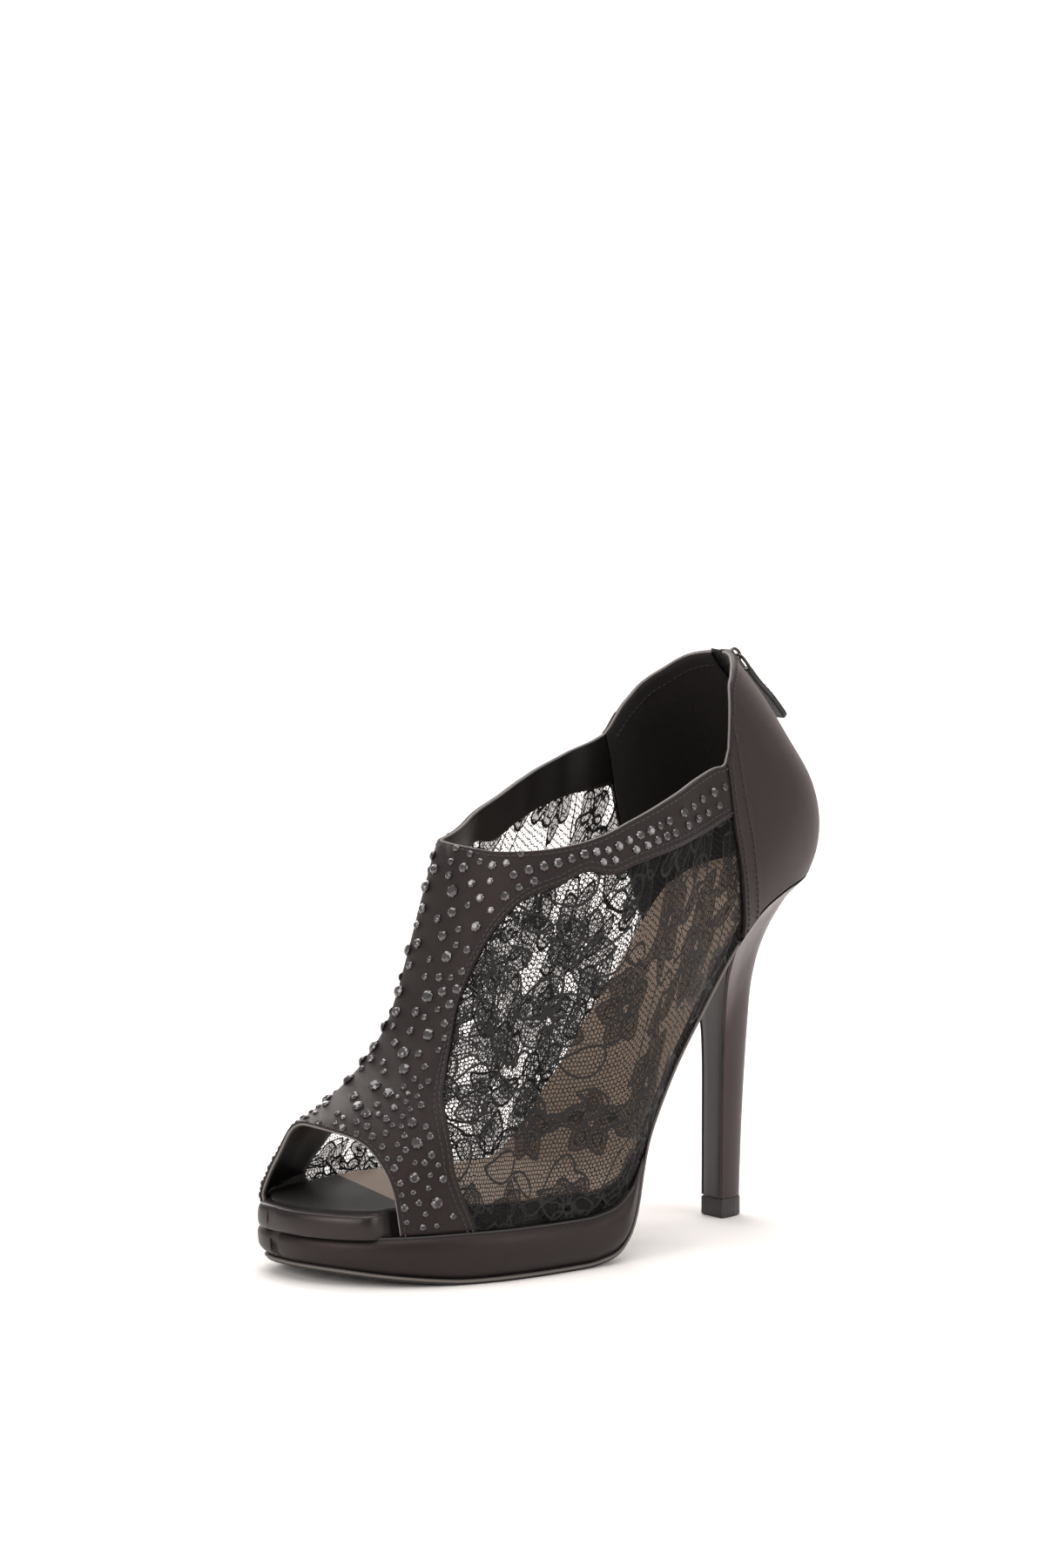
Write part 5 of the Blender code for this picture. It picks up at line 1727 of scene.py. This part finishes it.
def counter_top_row(side, inset, depth=0.0, count=46, flip=False):
    samples = []
    for k in range(count + 1):
        u = 0.06 + 0.88 * k / count
        tall = (counter_point(u, 0.5, side) - counter_point(u, 1.0, side)).length * 2
        v = 1 - inset / tall
        here, normal, _ = skin_frame(lambda a, b: counter_point(a, b, side, depth), u, v)
        normal = -normal if side > 0 else normal
        samples.append((here, -normal if flip else normal))
    return along_row(samples)


seams = []
for side in (1, -1):
    for inset in (0.0013, 0.0030):
        seams += strap_row(side, inset, False)
    seams += strap_row(side, 0.0014, True, 0.0, TOE_SHARE, 60)
    seams += strap_row(side, 0.0014, True, TOE_SHARE + RIDGE_SHARE, 1.0, 90)
    for inset in (0.0011, 0.0041):
        seams += counter_row(side, inset)
    seams += counter_top_row(side, 0.0014)
    seams += counter_top_row(side, 0.0050, 0.0020, flip=True)
stitches = scatter("stitches", stitch_unit(), seams, thread_black)
finish_piece(stitches, "shoe", [])

# %% [markdown]
# ## The zip
#
# A closed zip up the back: a woven tape, two rows of teeth that lock in turn, a slider parked
# at the top and a leather tab on a wire link. The tab swings, so it rides on its own body.

# %% Tape and teeth
ZIP_TOP = collar_up(0.0, 1)


def tape_point(u, v, depth=0.0):
    """u runs from -1 to 1 across the tape and v from the seat to the top."""
    side = 1 if u >= 0 else -1
    up = v * ZIP_TOP
    t = 0.0 if u == 0 else station_at_width(ZIP_WIDTH / 2 * abs(u), side, up)
    return off_bed(wall(t, side, up, depth))


tape_grid = [[tape_point(i / 4 - 1, j / 50, 0.0004) for j in range(51)] for i in range(9)]
tape = link_mesh("zip_tape_cloth", grid_mesh("zip_tape_cloth", tape_grid, flip=True), tape_cloth)
thicken(tape, 0.0006)
finish_piece(tape, "shoe", ["zip_tape"])


def tooth_unit():
    """One tooth: a rounded block that hooks over the middle."""
    bm = bmesh.new()
    bmesh.ops.create_cube(bm, size=1.0)
    bmesh.ops.bevel(bm, geom=bm.edges[:], offset=0.18, segments=1, affect="EDGES")
    return as_mesh(bm, "tooth_unit")


TOOTH = (0.0022, 0.0008, 0.0009)
TOOTH_SHIFT = 0.0006


def tooth_spots(pitch=0.0013):
    spots = []
    tall = INSTEP_HEIGHT * section("crown", 0.0) * ZIP_TOP
    count = int(tall / pitch)
    for k in range(count):
        v = (k + 0.5) / count
        side = 1 if k % 2 else -1
        here = tape_point(0.0, v, 0.0001)
        along = (tape_point(0.0, min(1, v + 0.01)) - tape_point(0.0, max(0, v - 0.01))).normalized()
        out = along.cross(Vector((1, 0, 0))).normalized()
        if out.y < 0:
            out = -out
        spots.append((here + Vector((side * TOOTH_SHIFT, 0, 0)), out, Vector((1, 0, 0)), TOOTH))
    return spots


teeth = scatter("zip_teeth", tooth_unit(), tooth_spots(), gunmetal)
finish_piece(teeth, "shoe", [])

# %% Slider, link and tab
def bevelled(name, boxes, material, bevel=0.0004):
    """Several boxes given as an origin, three axes and their sizes, with softened edges."""
    bm = bmesh.new()
    for origin, axes, low, high in boxes:
        verts = []
        for k in range(8):
            spot = (low, high)[k & 1][0], (low, high)[k >> 1 & 1][1], (low, high)[k >> 2 & 1][2]
            corner = origin + axes[0] * spot[0] + axes[1] * spot[1] + axes[2] * spot[2]
            verts.append(bm.verts.new(corner))
        for ring in ((0, 1, 3, 2), (4, 6, 7, 5), (0, 4, 5, 1), (2, 3, 7, 6), (0, 2, 6, 4),
                     (1, 5, 7, 3)):
            bm.faces.new([verts[n] for n in ring])
    mesh = closed_mesh(bm, name)
    obj = link_mesh(name, mesh, material)
    modifier = obj.modifiers.new("soft_edge", "BEVEL")
    modifier.width = bevel
    modifier.segments = 3
    modifier.limit_method = "ANGLE"
    return obj


base, across, outward, along = slider_frame()
axes = (across, outward, along)
slim = SLIDER_WIDTH / 2
slider_boxes = [
    (base, axes, (-slim, 0.0, -SLIDER_LENGTH / 2), (slim, SLIDER_THICK, 0.0)),
    (base, axes, (-slim * 0.86, 0.0, -0.0004), (slim * 0.86, SLIDER_THICK * 0.96, SLIDER_LENGTH / 2)),
    (base, axes, (-slim, -0.0006, -SLIDER_LENGTH / 2), (-slim + 0.0008, 0.0004, SLIDER_LENGTH * 0.3)),
    (base, axes, (slim - 0.0008, -0.0006, -SLIDER_LENGTH / 2), (slim, 0.0004, SLIDER_LENGTH * 0.3)),
]
slider = bevelled("slider_body", slider_boxes, gunmetal, 0.0005)
finish_piece(slider, "shoe", ["slider"])
bridge_path = []
for k in range(25):
    angle = math.pi * k / 24
    bridge_path.append(base + along * (BRIDGE_LENGTH / 2 - 0.0005) * math.cos(angle)
                       + outward * (SLIDER_THICK - 0.0004 + (BRIDGE_OPENING + 0.0009) * math.sin(angle) ** 0.6))
bridge = link_mesh("slider_bridge", tube_mesh("slider_bridge", bridge_path, 0.00055, 8), gunmetal)
finish_piece(bridge, "shoe", [])

pivot, _, face, run = pull_frame()
half = LINK_WIDTH / 2 - LINK_BAR / 2
reach = LINK_LENGTH - LINK_BAR
link_path = []
for k in range(40):
    angle = 2 * math.pi * k / 40
    x = math.copysign(abs(math.cos(angle)) ** 0.45, math.cos(angle)) * half
    z = math.copysign(abs(math.sin(angle)) ** 0.45, math.sin(angle)) * reach / 2 - reach / 2
    link_path.append(pivot + across * x + run * z)
wire = tube_mesh("pull_wire", link_path, LINK_BAR / 2, 10, closed=True)
link_ring = link_mesh("pull_wire", wire, gunmetal)
finish_piece(link_ring, "pull", ["pull_link"])


TAB_ALONG = [0, 0.25, 0.62, 0.93, 1.0]
TAB_HALVES = [0.60, 0.62, 0.98, 1.0, 0.86]
TAB_FOLD = 0.0019


def tab_half(s):
    """Half of the tab's width at a share of its length."""
    return smooth_value(TAB_ALONG, TAB_HALVES, s) * TAB_WIDTH / 2


def make_tab():
    """The leather tab, folded over the wire at its top, wider and rounded at its end."""
    outline = []
    top = -LINK_LENGTH + TAB_FOLD
    for k in range(27):
        s = k / 26
        outline.append((tab_half(s), top - s * (TAB_LENGTH + 0.0018)))
    left = [(-x, z) for x, z in reversed(outline)]
    bm = bmesh.new()
    loops = []
    for y in (-TAB_THICK / 2, TAB_THICK / 2):
        loops.append([bm.verts.new(pivot + across * x + face * y + run * z)
                      for x, z in outline + left])
    back, front = loops
    for k in range(len(back)):
        bm.faces.new((back[k - 1], back[k], front[k], front[k - 1]))
    for k in range(26):
        other = len(back) - 1 - k
        bm.faces.new((back[k], back[k + 1], back[other - 1], back[other]))
        bm.faces.new((front[k + 1], front[k], front[other], front[other - 1]))
    mesh = closed_mesh(bm, "leather_tab")
    obj = link_mesh("leather_tab", mesh, leather)
    modifier = obj.modifiers.new("soft_edge", "BEVEL")
    modifier.width = 0.00045
    modifier.segments = 3
    modifier.limit_method = "ANGLE"
    modifier.angle_limit = math.radians(50)
    return obj


tab = make_tab()
finish_piece(tab, "pull", ["pull_tab"])
tab_rows = []
for x_side in (-1, 1):
    samples = []
    for k in range(30):
        s = 0.08 + 0.86 * k / 29
        down_tab = run * (-LINK_LENGTH + TAB_FOLD - s * TAB_LENGTH)
        spot = pivot + across * x_side * (tab_half(s) - 0.001) + down_tab
        samples.append((spot + face * TAB_THICK / 2, face))
    tab_rows += along_row(samples, 0.0019, 0.0014)
tab_stitches = scatter("tab_stitches", stitch_unit(), tab_rows, thread_black)
finish_piece(tab_stitches, "pull", [])

# %% [markdown]
# ## Heel
#
# A moulded stiletto under thin stretched satin. It is lofted through rings from the tip to the
# seat, with a flat breast. The satin's two edges meet the breast panel in a fine fold.

# %% Heel loft
def loft_mesh(name, rings, caps=True):
    bm = bmesh.new()
    grid = [[bm.verts.new(p) for p in ring] for ring in rings]
    for near, far in zip(grid, grid[1:]):
        join_rings(bm, near, far)
    if caps:
        bm.faces.new(list(reversed(grid[0])))
        bm.faces.new(grid[-1])
    return closed_mesh(bm, name)


HEEL_SPOKES_FINE = 26
HEEL_LEVELS_FINE = 90


def fine_heel_ring(level, out=0.0):
    count = 2 * HEEL_SPOKES_FINE
    ring = [heel_point(level, 2 * k / count - 1, out) for k in range(count + 1)]
    for k in range(1, 6):
        ring.append(ring[count].lerp(ring[0], k / 6))
    return ring


def make_heel():
    levels = [1 - (1 - k / HEEL_LEVELS_FINE) ** 1.25 for k in range(HEEL_LEVELS_FINE + 1)]
    rings = [fine_heel_ring(level) for level in levels]
    bm = bmesh.new()
    grid = [[bm.verts.new(p) for p in ring] for ring in rings]
    for near, far in zip(grid, grid[1:]):
        join_rings(bm, near, far)
    bm.faces.new(list(reversed(grid[0])))
    top = grid[-1]
    last = 2 * HEEL_SPOKES_FINE
    for k in range(HEEL_SPOKES_FINE - 1):
        bm.faces.new((top[k], top[k + 1], top[last - k - 1], top[last - k]))
    bm.faces.new((top[HEEL_SPOKES_FINE - 1], top[HEEL_SPOKES_FINE], top[HEEL_SPOKES_FINE + 1]))
    bm.faces.new(top[last:] + [top[0]])
    mesh = closed_mesh(bm, "heel_cover")
    return link_mesh("heel_cover", mesh, heel_satin, 60.0)


finish_piece(make_heel(), "shoe", ["heel"])

panel_rings = []
for k in range(61):
    level = BREAST_COVER_FOOT + (BREAST_COVER_TOP - BREAST_COVER_FOOT) * k / 60
    spread = [0.88 * (2 * i / 8 - 1) for i in range(9)]
    panel_rings.append([breast_point(level, a, GAP * 0.3) for a in spread]
                       + [breast_point(level, a, 0.0007 - 0.0004 * (a / 0.88) ** 4) for a in reversed(spread)])
panel = link_mesh("breast_panel", loft_mesh("breast_panel", panel_rings), breast_gloss)
finish_piece(panel, "shoe", ["breast_cover"])
for side, word in ((1, "outer"), (-1, "inner")):
    fold = [breast_point(0.004 + 0.93 * k / 70, side * 0.955, 0.0001) for k in range(71)]
    curl = breast_point(0.934, side * 0.955, 0.0001)
    for k in range(1, 9):
        turn = math.pi * k / 10
        inward = -side * 0.0011 * (1 - math.cos(turn))
        fold.append(curl + Vector((inward, 0, 0.0016 * math.sin(turn))))
    fold_tube = tube_mesh("heel_fold_" + word, fold, 0.0005)
    edge_fold = link_mesh("heel_fold_" + word, fold_tube, heel_satin)
    finish_piece(edge_fold, "shoe", [])

tip_rings = []
for z, out in ((0.0, TOP_PIECE_LEDGE - 0.0004), (0.0004, TOP_PIECE_LEDGE),
               (TOP_PIECE - 0.0008, TOP_PIECE_LEDGE),
               (TOP_PIECE - 0.0002, TOP_PIECE_LEDGE - 0.0003)):
    tip_rings.append([Vector((p.x, p.y, z)) for p in fine_heel_ring(0.0, out)])
tip = link_mesh("heel_tip_piece", loft_mesh("heel_tip_piece", tip_rings), tip_plastic)
finish_piece(tip, "shoe", ["top_piece"])

# %% [markdown]
# ## Platform, insole rim, sock and outsole
#
# The platform is wrapped in the same satin, pulled tight and a little puckered. The insole's
# rim shows at the toe, the beige sock lies on it with a black toe part, and a thin sole closes
# the underside.

# %% Sole pieces
def sole_stations(start, end=1.0, count=120):
    return [start + (end - start) * k / count for k in range(count + 1)]


def sided(t, column):
    """A ring from the outer side's column down and the inner side's column back up."""
    return column(t, 1) + column(t, -1)[::-1]


def lofted_piece(name, column, start, material, end=1.0, angle=60.0):
    """A piece lofted through one ring at each station of the sole."""
    rings = [sided(t, column) for t in sole_stations(start, end)]
    return link_mesh(name, loft_mesh(name, rings), material, angle)


PLATFORM_PROFILE = [1.0, 0.97, 0.92, 0.85, 0.75, 0.62, 0.5, 0.36, 0.24, 0.14, 0.07, 0.0]


def platform_column(t, side):
    fore = ramp(share(t), PLATFORM_BACK_AT, PLATFORM_FULL_AT)
    ups = [row[0] for row in PLATFORM_SIDE][::-1]
    swells = [row[1] for row in PLATFORM_SIDE][::-1]
    column = []
    for up in PLATFORM_PROFILE:
        out = SIDE_SWELL * smooth_value(ups, swells, up) * fore - WEDGE_INSET * (1 - fore)
        column.append(edge(t, side, out, joint_line, GAP * 0.3).lerp(edge(t, side, out), up))
    return column


platform = lofted_piece("platform_wrap", platform_column, station(PLATFORM_BACK_AT), platform_satin)
finish_piece(platform, "shoe", ["platform"])
seam_stations = sole_stations(station(0.50), 1.0, 90)
seam = [edge(t, 1, SIDE_SWELL * 0.22, bed, 0.0001) for t in seam_stations]
seam += [edge(t, -1, SIDE_SWELL * 0.22, bed, 0.0001) for t in seam_stations[::-1]]
seam_tube = tube_mesh("platform_seam", lined(seam), 0.0004)
seam_cord = link_mesh("platform_seam", seam_tube, thread_black)
finish_piece(seam_cord, "shoe", [])

INSOLE_PROFILE = [(1.0, 1.0), (0.94, 0.6), (0.85, 0.3), (0.72, 0.12), (0.55, 0.02), (0.4, 0.0), (0.2, 0.15),
                  (0.08, 0.4), (0.0, 0.7)]
WALL_INSET = OVERLAY + LAYER_GAP + UPPER_WALL + LAYER_GAP


def insole_column(t, side):
    thick = insole_thickness(share(t) * LAST_LENGTH)
    return [insole_side(t, side, 0.0002 + (thick - 0.0002) * up, WALL_INSET, back * RIM_ROUND)
            for up, back in INSOLE_PROFILE]


insole = lofted_piece("insole_wrap", insole_column, INSOLE_START, rim_satin)
finish_piece(insole, "shoe", ["insole"])


def sock_column(t, side):
    thick = insole_thickness(share(t) * LAST_LENGTH)
    column = []
    for lift in (thick + 0.0010, thick + 0.0001):
        point = insole_side(t, side, lift, WALL_INSET + 0.0003)
        rim_back = (RIM + SOCK_RIM_STEP) * ramp(share(t), RIM_START_AT[side], RIM_FULL_AT[side])
        nx, nf = plan_normal(t, side)
        point.x -= nx * rim_back
        point.y += nf * rim_back
        column.append(point)
    return column


def sock_finish():
    """Beige lining, with the toe part in black from a slanted line forward."""
    material = fabric_finish("sock_lining", (0.30, 0.215, 0.16), (0.38, 0.285, 0.22), 0.55, 0.0006, bump=0.15,
                             coords="Object")
    tree = material.node_tree
    shader = tree.nodes["Principled BSDF"]
    m = Maths(tree)
    x, y, z = m.split(tree.nodes.new("ShaderNodeTexCoord").outputs["Object"])
    line = m.do("ADD", y, m.do("MULTIPLY", x, 0.25))
    toe = m.do("SUBTRACT", 1.0, m.step(line, -0.0322, -0.0318))
    beige = shader.inputs["Base Color"].links[0].from_socket
    tree.links.new(m.mix(toe, beige, (0.012, 0.010, 0.010, 1)), shader.inputs["Base Color"])
    return material


sock = lofted_piece("sock_sheet", sock_column, SOCK_START, sock_finish(), SOCK_END, 40.0)
finish_piece(sock, "shoe", ["sock"])


def outsole_column(t, side):
    fore = ramp(share(t), OUTSOLE_WAIST_AT, PLATFORM_FULL_AT)
    top_out = -OUTSOLE_INSET_WAIST + fore * (OUTSOLE_INSET_WAIST - OUTSOLE_INSET_FORE)
    low_out = top_out - OUTSOLE_BEVEL_WAIST + fore * (OUTSOLE_BEVEL_WAIST - OUTSOLE_BEVEL_FORE)
    profile = ((top_out, 0.0), (top_out + 0.0002, -0.0005), (top_out, -0.0010), (low_out, -OUTSOLE))
    return [edge(t, side, out, joint_line, lift) for out, lift in profile]


outsole_start = station(SEAT_FRONT_AT + 2 * GAP / LAST_LENGTH)
outsole = lofted_piece("outsole_sheet", outsole_column, outsole_start, sole_black, angle=50.0)
finish_piece(outsole, "shoe", ["outsole"])


# A pale tube along the outsole's edge: a painted highlight where the thin sole's edge catches the light.
def outsole_highlight_line(side):
    line = []
    for t in sole_stations(station(SEAT_FRONT_AT + 0.004), 1.0, 130):
        fore = ramp(share(t), OUTSOLE_WAIST_AT, PLATFORM_FULL_AT)
        out = -OUTSOLE_INSET_WAIST + fore * (OUTSOLE_INSET_WAIST - OUTSOLE_INSET_FORE)
        line.append(edge(t, side, out + 0.0001, joint_line, -0.0006))
    return line


edge_highlight_cord = link_mesh("outsole_edge", tube_mesh("outsole_edge", lined(
    outsole_highlight_line(1), outsole_highlight_line(-1)[::-1]), 0.00045), sole_edge_highlight)
finish_piece(edge_highlight_cord, "shoe", [])
